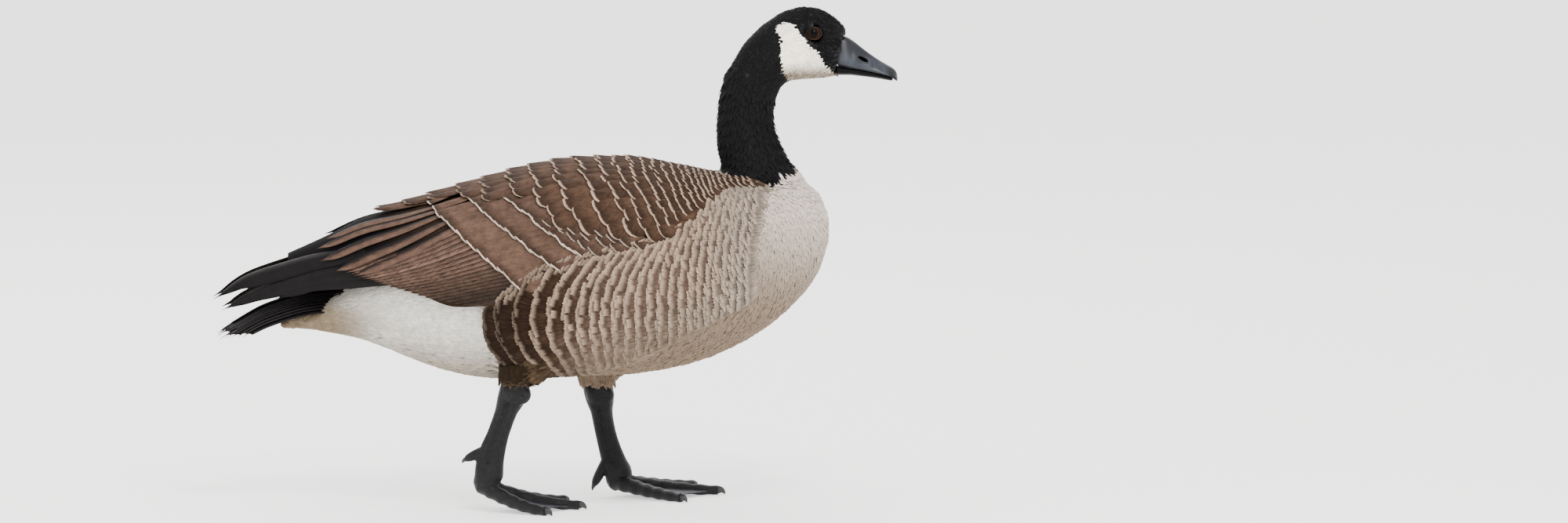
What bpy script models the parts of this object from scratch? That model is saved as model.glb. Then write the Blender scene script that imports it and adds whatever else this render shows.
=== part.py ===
"""Canada goose, life size, standing in mid stride with the right foot behind the left.

The bird faces +X, its left side is +Y and it stands on z = 0. Sizes are in metres.
The trunk is lofted through cross sections, the neck and head through sections that turn about the throat,
and the folded wings, thighs, bill and eyes are fitted to what carries them with a thin gap.
"""

import math

import bmesh
import bpy
import numpy as np
from mathutils import Vector

GAP = 0.0003
"""Space left between two nodes that touch."""
MOST_SHELL = 4.0
"""How many times the gap a corner moves at most, so that the faces round it move by the whole gap."""
ACROSS = Vector((0, 1, 0))
UP = Vector((0, 0, 1))

# Trunk
TRUNK_SIDES = 28
TRUNK_RINGS = 19
LOWER_FULLNESS = 2.2
UPPER_FULLNESS = 2.3
TRUNK_STATIONS = (
    # x, top, bottom, half width, height of the widest line
    (0.2740, 0.288, 0.262, 0.014, 0.275),
    (0.2690, 0.306, 0.243, 0.037, 0.273),
    (0.2570, 0.318, 0.220, 0.058, 0.267),
    (0.2350, 0.329, 0.196, 0.081, 0.256),
    (0.2050, 0.330, 0.172, 0.100, 0.243),
    (0.1650, 0.332, 0.1505, 0.117, 0.229),
    (0.1200, 0.3395, 0.136, 0.130, 0.218),
    (0.0700, 0.3460, 0.1285, 0.1365, 0.213),
    (0.0200, 0.3400, 0.1270, 0.1355, 0.211),
    (-0.0120, 0.3250, 0.1250, 0.1270, 0.210),
    (-0.0420, 0.3060, 0.1230, 0.1155, 0.209),
)
# The rear edge of the flanks slopes back as it rises, and the sections ahead of it turn upright
FLANK_LEAN = 0.30
FLANK_FOOT = 0.134
FLANK_TURN = 0.12
# The line where the flank feathers lap over the folded wing, front to back
FLANK_LINE = (
    (0.170, 0.330),
    (0.150, 0.308),
    (0.110, 0.284),
    (0.040, 0.266),
    (-0.010, 0.246),
    (-0.036, 0.228),
    (-0.066, 0.205),
)
WING_BED = 0.011
BED_SLOPE = 0.012
BED_FRONT_SLOPE = 0.04

# Rump, drawn out to a point by the white feathers under the tail
RUMP_RINGS = 14
RUMP_STATIONS = (
    (-0.0420, 0.290, 0.1235, 0.104, 0.205),
    (-0.0800, 0.276, 0.1280, 0.094, 0.205),
    (-0.1100, 0.263, 0.1355, 0.084, 0.206),
    (-0.1400, 0.250, 0.1465, 0.070, 0.207),
    (-0.1750, 0.238, 0.1610, 0.055, 0.205),
    (-0.2000, 0.227, 0.1690, 0.043, 0.198),
    (-0.2200, 0.213, 0.1730, 0.034, 0.190),
    (-0.2400, 0.1975, 0.1765, 0.025, 0.1845),
    (-0.2600, 0.1865, 0.1785, 0.015, 0.1818),
    (-0.2780, 0.1815, 0.1798, 0.004, 0.1806),
)

# Neck and head sections: throat side x and z, nape side x and z, half width, how low the widest line lies
NECK_SIDES = 22
NECK_ROOT = (
    (0.262, 0.280, 0.140, 0.296, 0.058, 0.0),
    (0.256, 0.314, 0.156, 0.312, 0.047, 0.0),
    (0.247, 0.331, 0.165, 0.322, 0.0385, 0.0),
)
NECK = (
    (0.247, 0.331, 0.165, 0.322, 0.0385, 0.0),
    (0.234, 0.345, 0.1620, 0.338, 0.0325, 0.0),
    (0.2245, 0.358, 0.1605, 0.354, 0.0290, 0.0),
    (0.2185, 0.371, 0.1605, 0.371, 0.0270, 0.0),
    (0.2160, 0.385, 0.1610, 0.388, 0.0260, 0.0),
    (0.2172, 0.398, 0.1630, 0.407, 0.0260, 0.0),
    (0.2200, 0.407, 0.1670, 0.424, 0.0262, 0.03),
    (0.2225, 0.4125, 0.1740, 0.439, 0.0275, 0.06),
)
HEAD = (
    (0.2225, 0.4125, 0.1740, 0.439, 0.0275, 0.06),
    (0.2245, 0.4175, 0.1875, 0.4610, 0.0308, 0.09),
    (0.2290, 0.4215, 0.2050, 0.4785, 0.0338, 0.12),
    (0.2360, 0.4235, 0.2250, 0.4910, 0.0352, 0.13),
    (0.2460, 0.4243, 0.2440, 0.4965, 0.0343, 0.13),
    (0.2570, 0.4248, 0.2590, 0.4955, 0.0305, 0.10),
    (0.2680, 0.4255, 0.2705, 0.4905, 0.0255, 0.06),
    (0.2780, 0.4268, 0.2808, 0.4830, 0.0208, 0.03),
    (0.2850, 0.4285, 0.2880, 0.4745, 0.0168, 0.0),
    (0.2885, 0.4310, 0.2915, 0.4660, 0.0125, 0.0),
)

# Bill: x, mouth line, culmen, half width at the mouth, half width of the ridge
UPPER_BILL_RINGS, LOWER_BILL_RINGS = 13, 9
UPPER_BILL = (
    (0.2800, 0.4402, 0.4660, 0.0140, 0.0105),
    (0.2880, 0.4388, 0.4655, 0.0150, 0.0100),
    (0.2960, 0.4374, 0.4620, 0.0142, 0.0080),
    (0.3050, 0.4357, 0.4555, 0.0130, 0.0058),
    (0.3150, 0.4335, 0.4480, 0.0130, 0.0052),
    (0.3240, 0.4315, 0.4425, 0.0140, 0.0062),
    (0.3320, 0.4293, 0.4385, 0.0136, 0.0070),
    (0.3375, 0.4272, 0.4350, 0.0100, 0.0055),
    (0.3400, 0.4262, 0.4310, 0.0040, 0.0025),
)
# x, underside, mouth line, half width
LOWER_BILL = (
    (0.2800, 0.4295, 0.4402, 0.0125),
    (0.2900, 0.4300, 0.4385, 0.0122),
    (0.3050, 0.4290, 0.4357, 0.0112),
    (0.3200, 0.4275, 0.4324, 0.0112),
    (0.3300, 0.4260, 0.4299, 0.0100),
    (0.3345, 0.4252, 0.4284, 0.0060),
)
# Bill sections as shares, from the mid line below to the mid line above
UPPER_BILL_SECTION = (
    # how much of the half width at the mouth, how much of the ridge's, how far up from the mouth
    (0.0, 0.0, 0.0),
    (0.75, 0.0, 0.0),
    (1.0, 0.0, 0.11),
    (0.93, 0.0, 0.28),
    (0.42, 0.58, 0.62),
    (0.0, 1.0, 0.88),
    (0.0, 0.55, 1.0),
)
LOWER_BILL_SECTION = (
    # how much of the half width, how far down from the mouth
    (0.0, 0.0),
    (0.85, 0.0),
    (1.0, 0.25),
    (0.8, 0.7),
    (0.4, 1.0),
    (0.0, 1.0),
)
MOUTH_GAP = 0.0004
NOSTRIL = Vector((0.3055, 0.0092, 0.4470))
NOSTRIL_SIZE = (0.0062, 0.0030, 0.0024)
NOSTRIL_DIP = math.radians(28)
NOSTRIL_SEGMENTS, NOSTRIL_RINGS = 10, 6

# Eyes and lids
EYE = Vector((0.2570, 0.0216, 0.4720))
EYE_RADIUS = 0.0085
EYE_SEGMENTS, EYE_RINGS = 12, 8
LID_RADIUS, LID_THICKNESS = 0.0074, 0.0015
LID_OUT = 0.0047
LID_YAW, LID_ROLL = math.radians(14), math.radians(10)
LID_SEGMENTS, LID_SIDES = 14, 5

# Folded wings, which carry the trunk's outline on over the tail
# x, top, half width, height of the widest line
FOLD_STATIONS = (
    (0.1650, 0.3330, 0.1180, 0.229),
    (0.1200, 0.3405, 0.1310, 0.218),
    (0.0700, 0.3470, 0.1370, 0.213),
    (0.0200, 0.3460, 0.1355, 0.211),
    (-0.0300, 0.3385, 0.1260, 0.211),
    (-0.0660, 0.3275, 0.1150, 0.212),
    (-0.1100, 0.3125, 0.0990, 0.213),
    (-0.1500, 0.2990, 0.0810, 0.216),
    (-0.1900, 0.2870, 0.0620, 0.220),
    (-0.2300, 0.2680, 0.0440, 0.222),
    (-0.2700, 0.2540, 0.0310, 0.214),
    (-0.3100, 0.2365, 0.0230, 0.202),
    (-0.3450, 0.2080, 0.0180, 0.188),
)
# x, lower edge height, distance of the inner edge from the mid line, thickness
WING_STATIONS = (
    (0.1580, 0.3140, 0.045, 0.022),
    (0.1400, 0.3050, 0.036, 0.022),
    (0.1100, 0.2800, 0.026, 0.022),
    (0.0900, 0.2680, 0.022, 0.022),
    (0.0400, 0.2610, 0.015, 0.022),
    (-0.0080, 0.2460, 0.009, 0.022),
    (-0.0360, 0.2310, 0.005, 0.022),
    (-0.0660, 0.2080, 0.003, 0.020),
    (-0.1000, 0.2050, 0.0025, 0.017),
    (-0.1400, 0.2150, 0.0025, 0.013),
    (-0.1800, 0.2260, 0.0025, 0.009),
    (-0.2150, 0.2330, 0.0025, 0.005),
)
WING_RINGS = 13
WING_ARC = 9
WING_PROUD = 0.0022

# Feathers of the folded wing. Each runs from a root sunk in the core to a tip that stands off it.
VANE_THICKNESS = 0.0011
VANE_SINK, VANE_LIFT = 0.0030, 0.0030
"""How deep a root lies under the core's surface, and how far a tip's upper face stands off it."""
VANE_TILT = 0.10
"""How much higher one edge of a vane stands, as a slope, so that neighbours clear each other."""
MID_LINE_CLEARANCE = 0.0016
TUCK = 0.010
TUCK_SLOPE = 0.012
TUCK_FRONT = 0.138
"""Vanes dive this deep below the flank line and ahead of this x, where the body's feathers cover them."""
COVERT_SHAPE = ((0.0, 0.62), (0.5, 1.0), (0.86, 0.74), (1.0, 0.22))
FLIGHT_SHAPE = ((0.0, 0.75), (0.4, 1.0), (0.85, 0.80), (1.0, 0.12))
"""Width of a vane along its length, as shares."""

# Rows of coverts: first and last tip as x and z, how many, length, half width, and their slopes in degrees
COVERTS = (
    ((-0.0300, 0.3020), (0.0200, 0.2700), 4, 0.046, 0.0098, 22, 14),
    ((-0.0830, 0.3040), (-0.0050, 0.2570), 6, 0.056, 0.0098, 22, 13),
    ((-0.1210, 0.2980), (-0.0420, 0.2360), 6, 0.064, 0.0108, 22, 11),
)
# Secondaries: first and last tip, first and last root
SECONDARY_TIPS = ((-0.2000, 0.2370), (-0.1680, 0.2300), (-0.1150, 0.2130), (-0.0760, 0.2065))
SECONDARY_ROOTS = ((-0.0850, 0.2770), (-0.0600, 0.2590), (-0.0380, 0.2380), (-0.0420, 0.2240))
SECONDARIES, SECONDARY_HALF_WIDTH = 7, 0.0092
# The longest inner feathers: root x and z, tip x and z, half width
TERTIALS = (
    (-0.0950, 0.2870, -0.2190, 0.2380, 0.0088),
    (-0.1000, 0.2960, -0.2320, 0.2480, 0.0088),
    (-0.1050, 0.3040, -0.2320, 0.2620, 0.0080),
)
# Feathers of the shoulder and back in rows: tip x, lowest height, how many, length, half width
SCAPULARS = (
    (0.1180, 0.3040, 2, 0.042, 0.0130),
    (0.0860, 0.2830, 3, 0.050, 0.0155),
    (0.0500, 0.2800, 3, 0.056, 0.0170),
    (0.0100, 0.2960, 3, 0.060, 0.0165),
    (-0.0360, 0.3080, 2, 0.062, 0.0165),
    (-0.0820, 0.3080, 2, 0.064, 0.0160),
    (-0.1280, 0.3000, 2, 0.066, 0.0130),
    (-0.1740, 0.2850, 1, 0.066, 0.0110),
)
TOP_RISE = 0.90

# Primaries: root x and z, tip x and z, half width, lift of the tip
PRIMARY_CORE = (
    # x, lower edge height, distance from the mid line, thickness
    (-0.2153, 0.2340, 0.0045, 0.0045),
    (-0.2300, 0.2270, 0.0045, 0.0035),
    (-0.2480, 0.2300, 0.0050, 0.0015),
)
PRIMARY_CORE_SUNK = 0.0010
PRIMARIES = (
    (-0.2200, 0.2350, -0.2820, 0.2080, 0.0065, 0.0002),
    (-0.2200, 0.2380, -0.3050, 0.2040, 0.0070, 0.0004),
    (-0.2200, 0.2420, -0.3230, 0.2000, 0.0072, 0.0006),
    (-0.2200, 0.2460, -0.3360, 0.1970, 0.0072, 0.0008),
    (-0.2200, 0.2520, -0.3260, 0.2190, 0.0085, 0.0008),
    (-0.2200, 0.2570, -0.3395, 0.2130, 0.0095, 0.0010),
)
PRIMARY_SINK = 0.0022

# Tail
TAIL_CORE = (
    # x, z, half width, half thickness
    (-0.1900, 0.2160, 0.0260, 0.0120),
    (-0.2050, 0.2130, 0.0290, 0.0110),
    (-0.2200, 0.2080, 0.0310, 0.0085),
    (-0.2420, 0.2010, 0.0330, 0.0020),
)
TAIL_CORE_ARCH = 0.25
TAIL_CORE_SIDES = 18
RECTRICES = 12
RECTRIX_ROOT_X = -0.2100
RECTRIX_HALF_WIDTH = (0.0075, 0.0105)
RECTRIX_STEP = 0.0016
"""How much lower each tail feather lies than its inner neighbour."""
RECTRIX_ROLL = math.radians(9)
TAIL_SPREAD = (0.020, 0.043)
"""How far out the outermost tail feather's midline lies at its root and at its tip."""
TAIL_LINE = ((-0.2100, 0.2160), (-0.2400, 0.2140), (-0.2860, 0.2020), (-0.3220, 0.1820), (-0.3410, 0.1700))
"""The middle of the tail from root to tip, seen from the side."""
TAIL_ARCH = 0.0080
TAIL_ROUNDING = 0.020

# Legs: each ring is a point on the leg's line with its half width across and half depth along
RIGHT_LEG = (
    (-0.0360, -0.0740, 0.1340, 0.0125, 0.0135),
    (-0.0385, -0.0735, 0.1240, 0.0130, 0.0152),
    (-0.0415, -0.0725, 0.1130, 0.0118, 0.0145),
    (-0.0470, -0.0710, 0.0990, 0.0088, 0.0116),
    (-0.0540, -0.0700, 0.0800, 0.0064, 0.0112),
    (-0.0605, -0.0690, 0.0610, 0.0062, 0.0125),
    (-0.0640, -0.0685, 0.0460, 0.0086, 0.0142),
    (-0.0650, -0.0685, 0.0360, 0.0112, 0.0150),
)
LEFT_LEG = (
    (0.0405, 0.0740, 0.1190, 0.0125, 0.0135),
    (0.0430, 0.0735, 0.1080, 0.0130, 0.0150),
    (0.0450, 0.0725, 0.0980, 0.0118, 0.0140),
    (0.0475, 0.0710, 0.0850, 0.0088, 0.0112),
    (0.0520, 0.0700, 0.0680, 0.0064, 0.0108),
    (0.0565, 0.0690, 0.0500, 0.0064, 0.0115),
    (0.0600, 0.0685, 0.0340, 0.0090, 0.0135),
    (0.0630, 0.0685, 0.0240, 0.0112, 0.0145),
)
LEG_SIDES = 10
LEG_RINGS = 10
# Thighs lap over the top of the leg
THIGH_LAP = 0.006
THIGH_CLEARANCE = 0.0035
THIGH_SIDES, THIGH_RINGS = 14, 7
# From the leg's top: reach forward, reach outwards, rise, half width across and half depth
THIGH_STATIONS = (
    (0.030, 0.004, 0.050, 0.0340, 0.0440),
    (0.018, 0.003, 0.030, 0.0272, 0.0352),
    (0.005, 0.001, 0.010, 0.0211, 0.0264),
)

# Toes: reach forward, reach sideways and the half width at the root and at the tip
TOE_SIDES = 6
TOE_RINGS = 6
TOE_SPREAD = {
    "left": {"inner": (0.060, -0.056), "middle": (0.097, 0.014), "outer": (0.072, 0.066)},
    "right": {"inner": (0.075, -0.066), "middle": (0.090, -0.016), "outer": (0.057, 0.040)},
}
TOE_ROOT = (-0.007, -0.003)
"""Where the toes begin, behind and below the joint."""
TOE_ROOT_RADIUS, TOE_TIP_RADIUS = 0.0068, 0.0036
TOE_SOLE = 0.0008
"""How much of a toe's underside is flattened by the floor."""
TOE_DROP = 2.0
"""How steeply a toe comes down from the joint."""
TOE_STATIONS = 6
WEB_THICKNESS = 0.0016
WEB_SINK = 0.0006
"""How far the web lies below the toes' middle."""
WEB_START, WEB_REACH = 0.04, 0.90
WEB_SCALLOP = 0.84
"""Where the middle of the web lies, as a share of how far its sides reach."""
WEB_RINGS, WEB_READINGS = 6, 21
HALLUX_RADIUS = (0.0048, 0.0044, 0.0030)
# From the leg's end to each hind toe's root: forward, outwards and up
HALLUX_ROOT = {"left": (-0.0155, -0.002, 0.0060), "right": (-0.0060, -0.002, 0.0240)}
HALLUX_TURN = 0.002
"""How far inwards the hind toe's tip turns."""
# How far back and how far down each hind toe reaches
HALLUX_REACH = {"left": (0.0095, 0.0185), "right": (0.0175, 0.0085)}
HALLUX_RINGS, HALLUX_SIDES = 6, 8
CLAW_LENGTH, HIND_CLAW_LENGTH = 0.0095, 0.0045
CLAW_SIDES, CLAW_RINGS = 6, 5
CLAW_CURVE = 0.22
CLAW_FLATTENING = 0.75
CLAW_SLENDERNESS = 0.8
CLAW_TIP_RISE = 0.0012
# How far along the claw, and its radius there as a share
CLAW_STATIONS = ((0, 1.0), (0.35, 0.85), (0.7, 0.5), (1.0, 0.12))
# The ankle, from below the leg's end: reach forward, drop, half width and half depth
ANKLE_DROP = 0.006
ANKLE = ((-0.002, 0.001, 0.0108, 0.0130), (0.0015, 0.0095, 0.0075, 0.0085))
ANKLE_RINGS = 5
ANKLE_INSET = 0.0005

COLOURS = {
    "breast": (0.62, 0.55, 0.47),
    "brown": (0.20, 0.145, 0.11),
    "white": (0.80, 0.77, 0.71),
    "black": (0.022, 0.022, 0.025),
    "flight": (0.045, 0.035, 0.032),
    "bill": (0.055, 0.060, 0.075),
    "leg": (0.045, 0.045, 0.050),
    "claw": (0.020, 0.020, 0.022),
    "eye": (0.030, 0.012, 0.008),
    "thigh": (0.36, 0.29, 0.22),
}
ROUGHNESS = {"bill": 0.35, "leg": 0.45, "claw": 0.35, "eye": 0.08}
FEATHER_ROUGHNESS = 0.8


def read_smoothly(stations, places):
    """The stations' columns at these values of their first column, along a curve that never overshoots."""
    table = np.array(stations, float)
    if table[0, 0] > table[-1, 0]:
        table = table[::-1]
    at, values = table[:, 0], table[:, 1:]
    step = np.diff(at)[:, None]
    slope = np.diff(values, axis=0) / step
    both = slope[:-1] * slope[1:]
    middle = np.where(both > 0, 2 * both / (slope[:-1] + slope[1:] + 1e-12), 0)
    turn = np.vstack([slope[:1], middle, slope[-1:]])
    rows = []
    for place in places:
        i = int(np.clip(np.searchsorted(at, place) - 1, 0, len(at) - 2))
        t = float(np.clip((place - at[i]) / step[i, 0], 0, 1))
        rows.append(
            (1 + 2 * t) * (1 - t) ** 2 * values[i]
            + t * (1 - t) ** 2 * step[i] * turn[i]
            + t * t * (3 - 2 * t) * values[i + 1]
            - t * t * (1 - t) * step[i] * turn[i + 1]
        )
    return np.array(rows)


def spread(first, last, count, crowd=0.0):
    """Values from first to last, crowded towards first by the share crowd."""
    t = np.linspace(0, 1, count)
    t = (1 - crowd) * t + crowd * t * t
    return first + (last - first) * t


def read_path(stations, count):
    """Rows evenly spaced along a list of stations, on a smooth curve."""
    table = np.array(stations, float)
    length = np.concatenate([[0], np.cumsum(np.linalg.norm(np.diff(table[:, :3], axis=0), axis=1))])
    with_length = np.column_stack([length, table])
    return read_smoothly(with_length, np.linspace(0, length[-1], count))


def add_object(name, mesh, collection):
    obj = bpy.data.objects.new(name, mesh)
    collection.objects.link(obj)
    return obj


def loft(name, rings, collection):
    """A closed solid through rings that have the same number of points."""
    shape = bmesh.new()
    rows = [[shape.verts.new(p) for p in ring] for ring in rings]
    for near, far in zip(rows, rows[1:]):
        for i, corner in enumerate(near):
            j = (i + 1) % len(near)
            shape.faces.new((corner, near[j], far[j], far[i]))
    shape.faces.new(rows[0][::-1])
    shape.faces.new(rows[-1])
    bmesh.ops.recalc_face_normals(shape, faces=shape.faces)
    bmesh.ops.triangulate(shape, faces=shape.faces)
    mesh = bpy.data.meshes.new(name)
    shape.to_mesh(mesh)
    shape.free()
    return add_object(name, mesh, collection)


def apply_modifiers(obj):
    """The object's mesh becomes what its modifiers make of it."""
    graph = bpy.context.evaluated_depsgraph_get()
    made = bpy.data.meshes.new_from_object(obj.evaluated_get(graph))
    obj.modifiers.clear()
    obj.data = made


def keep_largest(obj):
    """Drops the small closed surfaces that a cut or a union can leave, and settles how faces are split."""
    shape = bmesh.new()
    shape.from_mesh(obj.data)
    left, groups = set(shape.verts), []
    while left:
        front, group = [left.pop()], []
        while front:
            vert = front.pop()
            group.append(vert)
            for edge in vert.link_edges:
                other = edge.other_vert(vert)
                if other in left:
                    left.remove(other)
                    front.append(other)
        groups.append(group)
    kept = max(groups, key=enclosed)
    bmesh.ops.delete(shape, geom=[v for g in groups if g is not kept for v in g], context="VERTS")
    bmesh.ops.triangulate(shape, faces=shape.faces)
    shape.to_mesh(obj.data)
    shape.free()


def enclosed(verts):
    """The volume inside a closed surface, from the faces round its vertices."""
    faces = {face for vert in verts for face in vert.link_faces}
    return sum(face.calc_center_median().dot(face.normal) * face.calc_area() / 3 for face in faces)


def boolean(obj, others, operation, solver="MANIFOLD"):
    """Joins the other objects to obj or cuts them from it, and removes them."""
    holder = bpy.data.collections.new("pieces")
    bpy.context.scene.collection.children.link(holder)
    for other in others:
        for old in other.users_collection:
            old.objects.unlink(other)
        holder.objects.link(other)
    modifier = obj.modifiers.new(operation.title(), "BOOLEAN")
    modifier.operation = operation
    modifier.solver = solver
    modifier.operand_type = "COLLECTION"
    modifier.collection = holder
    apply_modifiers(obj)
    for other in others:
        bpy.data.objects.remove(other)
    bpy.data.collections.remove(holder)
    keep_largest(obj)


def grown(obj, collection, by=GAP):
    """A copy of obj with its surface moved outwards, as a cutter that leaves a gap."""
    shape = bmesh.new()
    shape.from_mesh(obj.data)
    shape.normal_update()
    steps = [vert.normal * by * min(vert.calc_shell_factor(), MOST_SHELL) for vert in shape.verts]
    for vert, step in zip(shape.verts, steps):
        vert.co += step
    mesh = bpy.data.meshes.new(obj.name + "_grown")
    shape.to_mesh(mesh)
    shape.free()
    return add_object(mesh.name, mesh, collection)


def cut_by(obj, carriers, collection):
    """Cuts what obj would share with the objects that carry it, and a gap."""
    boolean(obj, [grown(c, collection) for c in carriers], "DIFFERENCE")


def trunk_ring(x, row, bed=True, from_flank_edge=1.0):
    """A cross section of the trunk, sunk where the wing lies and leaning near the flank's rear edge."""
    top, bottom, half_width, widest = row
    flank = read_smoothly(FLANK_LINE, [x])[0][0]
    inner = read_smoothly(WING_STATIONS, [x])[0][1]
    seat = WING_BED * float(np.clip((FLANK_LINE[0][0] - x) / BED_FRONT_SLOPE, 0, 1)) if bed else 0.0
    ring = []
    for turn in np.linspace(0, 2 * math.pi, TRUNK_SIDES, endpoint=False):
        out, up = math.sin(turn), -math.cos(turn)
        fullness = UPPER_FULLNESS if up > 0 else LOWER_FULLNESS
        height = top - widest if up > 0 else widest - bottom
        y = half_width * math.copysign(abs(out) ** (2 / fullness), out)
        z = widest + height * math.copysign(abs(up) ** (2 / fullness), up)
        sunk = seat * float(np.clip((z - flank) / BED_SLOPE, 0, 1))
        sunk *= float(np.clip((abs(y) - inner) / BED_SLOPE, 0, 1))
        middle = Vector((0, 0, widest))
        place = Vector((0, y, z)) - middle
        place *= 1 - sunk / place.length
        place += middle
        lean = FLANK_LEAN * max(0.0, 1 - from_flank_edge / FLANK_TURN)
        ring.append((x - lean * (place.z - FLANK_FOOT), place.y, place.z))
    return ring


def build_trunk(collection):
    places = spread(TRUNK_STATIONS[0][0], TRUNK_STATIONS[-1][0], TRUNK_RINGS, crowd=0.45)
    rows = read_smoothly(TRUNK_STATIONS, places)
    rings = [trunk_ring(x, row, from_flank_edge=x - places[-1]) for x, row in zip(places, rows)]
    return loft("torso", rings, collection)


def build_rump(collection):
    front = RUMP_STATIONS[0][0]
    places = spread(front, RUMP_STATIONS[-1][0], RUMP_RINGS)
    rows = read_smoothly(RUMP_STATIONS, places)
    rings = [
        trunk_ring(x - GAP, row, bed=False, from_flank_edge=front - x) for x, row in zip(places, rows)
    ]
    return loft("rump", rings, collection)


def neck_ring(section):
    """A ring between a throat and a nape point, widest below its middle by the section's last value."""
    front_x, front_z, back_x, back_z, half_width, low = section
    front, back = Vector((front_x, 0, front_z)), Vector((back_x, 0, back_z))
    ring = []
    for turn in np.linspace(0, 2 * math.pi, NECK_SIDES, endpoint=False):
        share = (1 - math.cos(turn)) / 2
        y = half_width * math.sin(turn) * (1 + low * math.cos(turn))
        place = front.lerp(back, share)
        ring.append((place.x, y, place.z))
    return ring


def shifted(ring, step):
    return [tuple(Vector(p) + step) for p in ring]


def build_neck(collection):
    rings = [neck_ring(s) for s in NECK]
    rings[0] = shifted(rings[0], Vector((0, 0, GAP)))
    rings[-1] = shifted(rings[-1], Vector((-GAP / 2, 0, -GAP)))
    return loft("neck", rings, collection)


def build_head(collection):
    return loft("head", [neck_ring(s) for s in HEAD], collection)


def bill_ring(x, mouth, ridge, half_width, ridge_half):
    """A section of the upper bill: flat below, with sloping sides up to the ridge."""
    outline = [
        (wide * half_width + narrow * ridge_half, mouth + up * (ridge - mouth))
        for wide, narrow, up in UPPER_BILL_SECTION
    ]
    other = [(-y, z) for y, z in outline[:0:-1]]
    return [(x, y, z) for y, z in outline + other]


def build_upper_bill(collection):
    places = spread(UPPER_BILL[0][0], UPPER_BILL[-1][0], UPPER_BILL_RINGS)
    rows = read_smoothly(UPPER_BILL, places)
    bill = loft("bill_upper", [bill_ring(x, *row) for x, row in zip(places, rows)], collection)
    pits = []
    for side in (1, -1):
        bpy.ops.mesh.primitive_uv_sphere_add(segments=NOSTRIL_SEGMENTS, ring_count=NOSTRIL_RINGS, radius=1)
        pit = bpy.context.object
        pit.scale = NOSTRIL_SIZE
        pit.rotation_euler = (0, NOSTRIL_DIP, 0)
        pit.location = (NOSTRIL.x, side * NOSTRIL.y, NOSTRIL.z)
        bpy.context.view_layer.update()
        pit.data.transform(pit.matrix_world)
        pit.matrix_world.identity()
        pits.append(pit)
    boolean(bill, pits, "DIFFERENCE")
    return bill


def build_lower_bill(collection):
    places = spread(LOWER_BILL[0][0], LOWER_BILL[-1][0], LOWER_BILL_RINGS)
    rings = []
    for x, (under, mouth, half_width) in zip(places, read_smoothly(LOWER_BILL, places)):
        mouth -= MOUTH_GAP
        outline = [(out * half_width, mouth - down * (mouth - under)) for out, down in LOWER_BILL_SECTION]
        other = [(-y, z) for y, z in outline[-2:0:-1]]
        rings.append([(x, y, z) for y, z in outline + other])
    return loft("bill_lower", rings, collection)


def build_eyes(collection):
    eyes = []
    for name, side in (("eye_left", 1), ("eye_right", -1)):
        bpy.ops.mesh.primitive_uv_sphere_add(segments=EYE_SEGMENTS, ring_count=EYE_RINGS, radius=EYE_RADIUS)
        eye = bpy.context.object
        eye.name = name
        eye.data.transform(eye.matrix_world)
        for vert in eye.data.vertices:
            vert.co = Vector((vert.co.x, vert.co.z, vert.co.y)) + Vector((EYE.x, side * EYE.y, EYE.z))
        eye.data.flip_normals()
        for old in eye.users_collection:
            old.objects.unlink(eye)
        collection.objects.link(eye)
        eyes.append(eye)
    return eyes


def add_lids(head):
    """A low ring round each eye, joined to the head."""
    rings = []
    for side in (1, -1):
        bpy.ops.mesh.primitive_torus_add(
            major_radius=LID_RADIUS,
            minor_radius=LID_THICKNESS,
            major_segments=LID_SEGMENTS,
            minor_segments=LID_SIDES,
        )
        lid = bpy.context.object
        lid.rotation_euler = (math.radians(90) - side * LID_ROLL, 0, -side * LID_YAW)
        lid.location = (EYE.x, side * (EYE.y + LID_OUT), EYE.z)
        bpy.context.view_layer.update()
        lid.data.transform(lid.matrix_world)
        lid.matrix_world.identity()
        rings.append(lid)
    boolean(head, rings, "UNION")


def fold_point(x, rise, side, sunk=0.0):
    """A point on the folded wings' outline at x, rise from 0 on the widest line to 1 on the mid line."""
    top, half_width, widest = read_smoothly(FOLD_STATIONS, [x])[0]
    turn = rise * math.pi / 2
    power = 2 / UPPER_FULLNESS
    height = top - widest
    out, up = math.cos(turn), math.sin(turn)
    y = half_width * math.copysign(abs(out) ** power, out)
    z = height * math.copysign(abs(up) ** power, up)
    normal = Vector((y / half_width**2, z / height**2)).normalized()
    place = Vector((y, z)) - normal * (sunk - WING_PROUD)
    return Vector((x, side * place.x, widest + place.y))


def rise_at(x, z):
    """How far round the folded wings' outline the height z comes at x."""
    top, _, widest = read_smoothly(FOLD_STATIONS, [x])[0]
    up = float(np.clip((z - widest) / (top - widest), -0.95, 0.999))
    return math.asin(math.copysign(abs(up) ** (UPPER_FULLNESS / 2), up)) / (math.pi / 2)


def wing_ring(x, low, inner, thickness, side, sunk=0.0):
    """A section of the folded wing: its outer arc from the lower edge to the back, and its inner arc."""
    half_width = read_smoothly(FOLD_STATIONS, [x])[0][1]
    last = math.acos((inner / half_width) ** (UPPER_FULLNESS / 2)) / (math.pi / 2)
    rises = np.linspace(rise_at(x, low), last, WING_ARC)
    outer = [tuple(fold_point(x, rise, side, sunk=sunk)) for rise in rises]
    under = [tuple(fold_point(x, rise, side, sunk=sunk + thickness)) for rise in rises]
    return outer + under[::-1]


def build_wing(name, side, collection):
    places = spread(WING_STATIONS[0][0], WING_STATIONS[-1][0], WING_RINGS)
    rows = read_smoothly(WING_STATIONS, places)
    return loft(name, [wing_ring(x, *row, side) for x, row in zip(places, rows)], collection)


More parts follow.
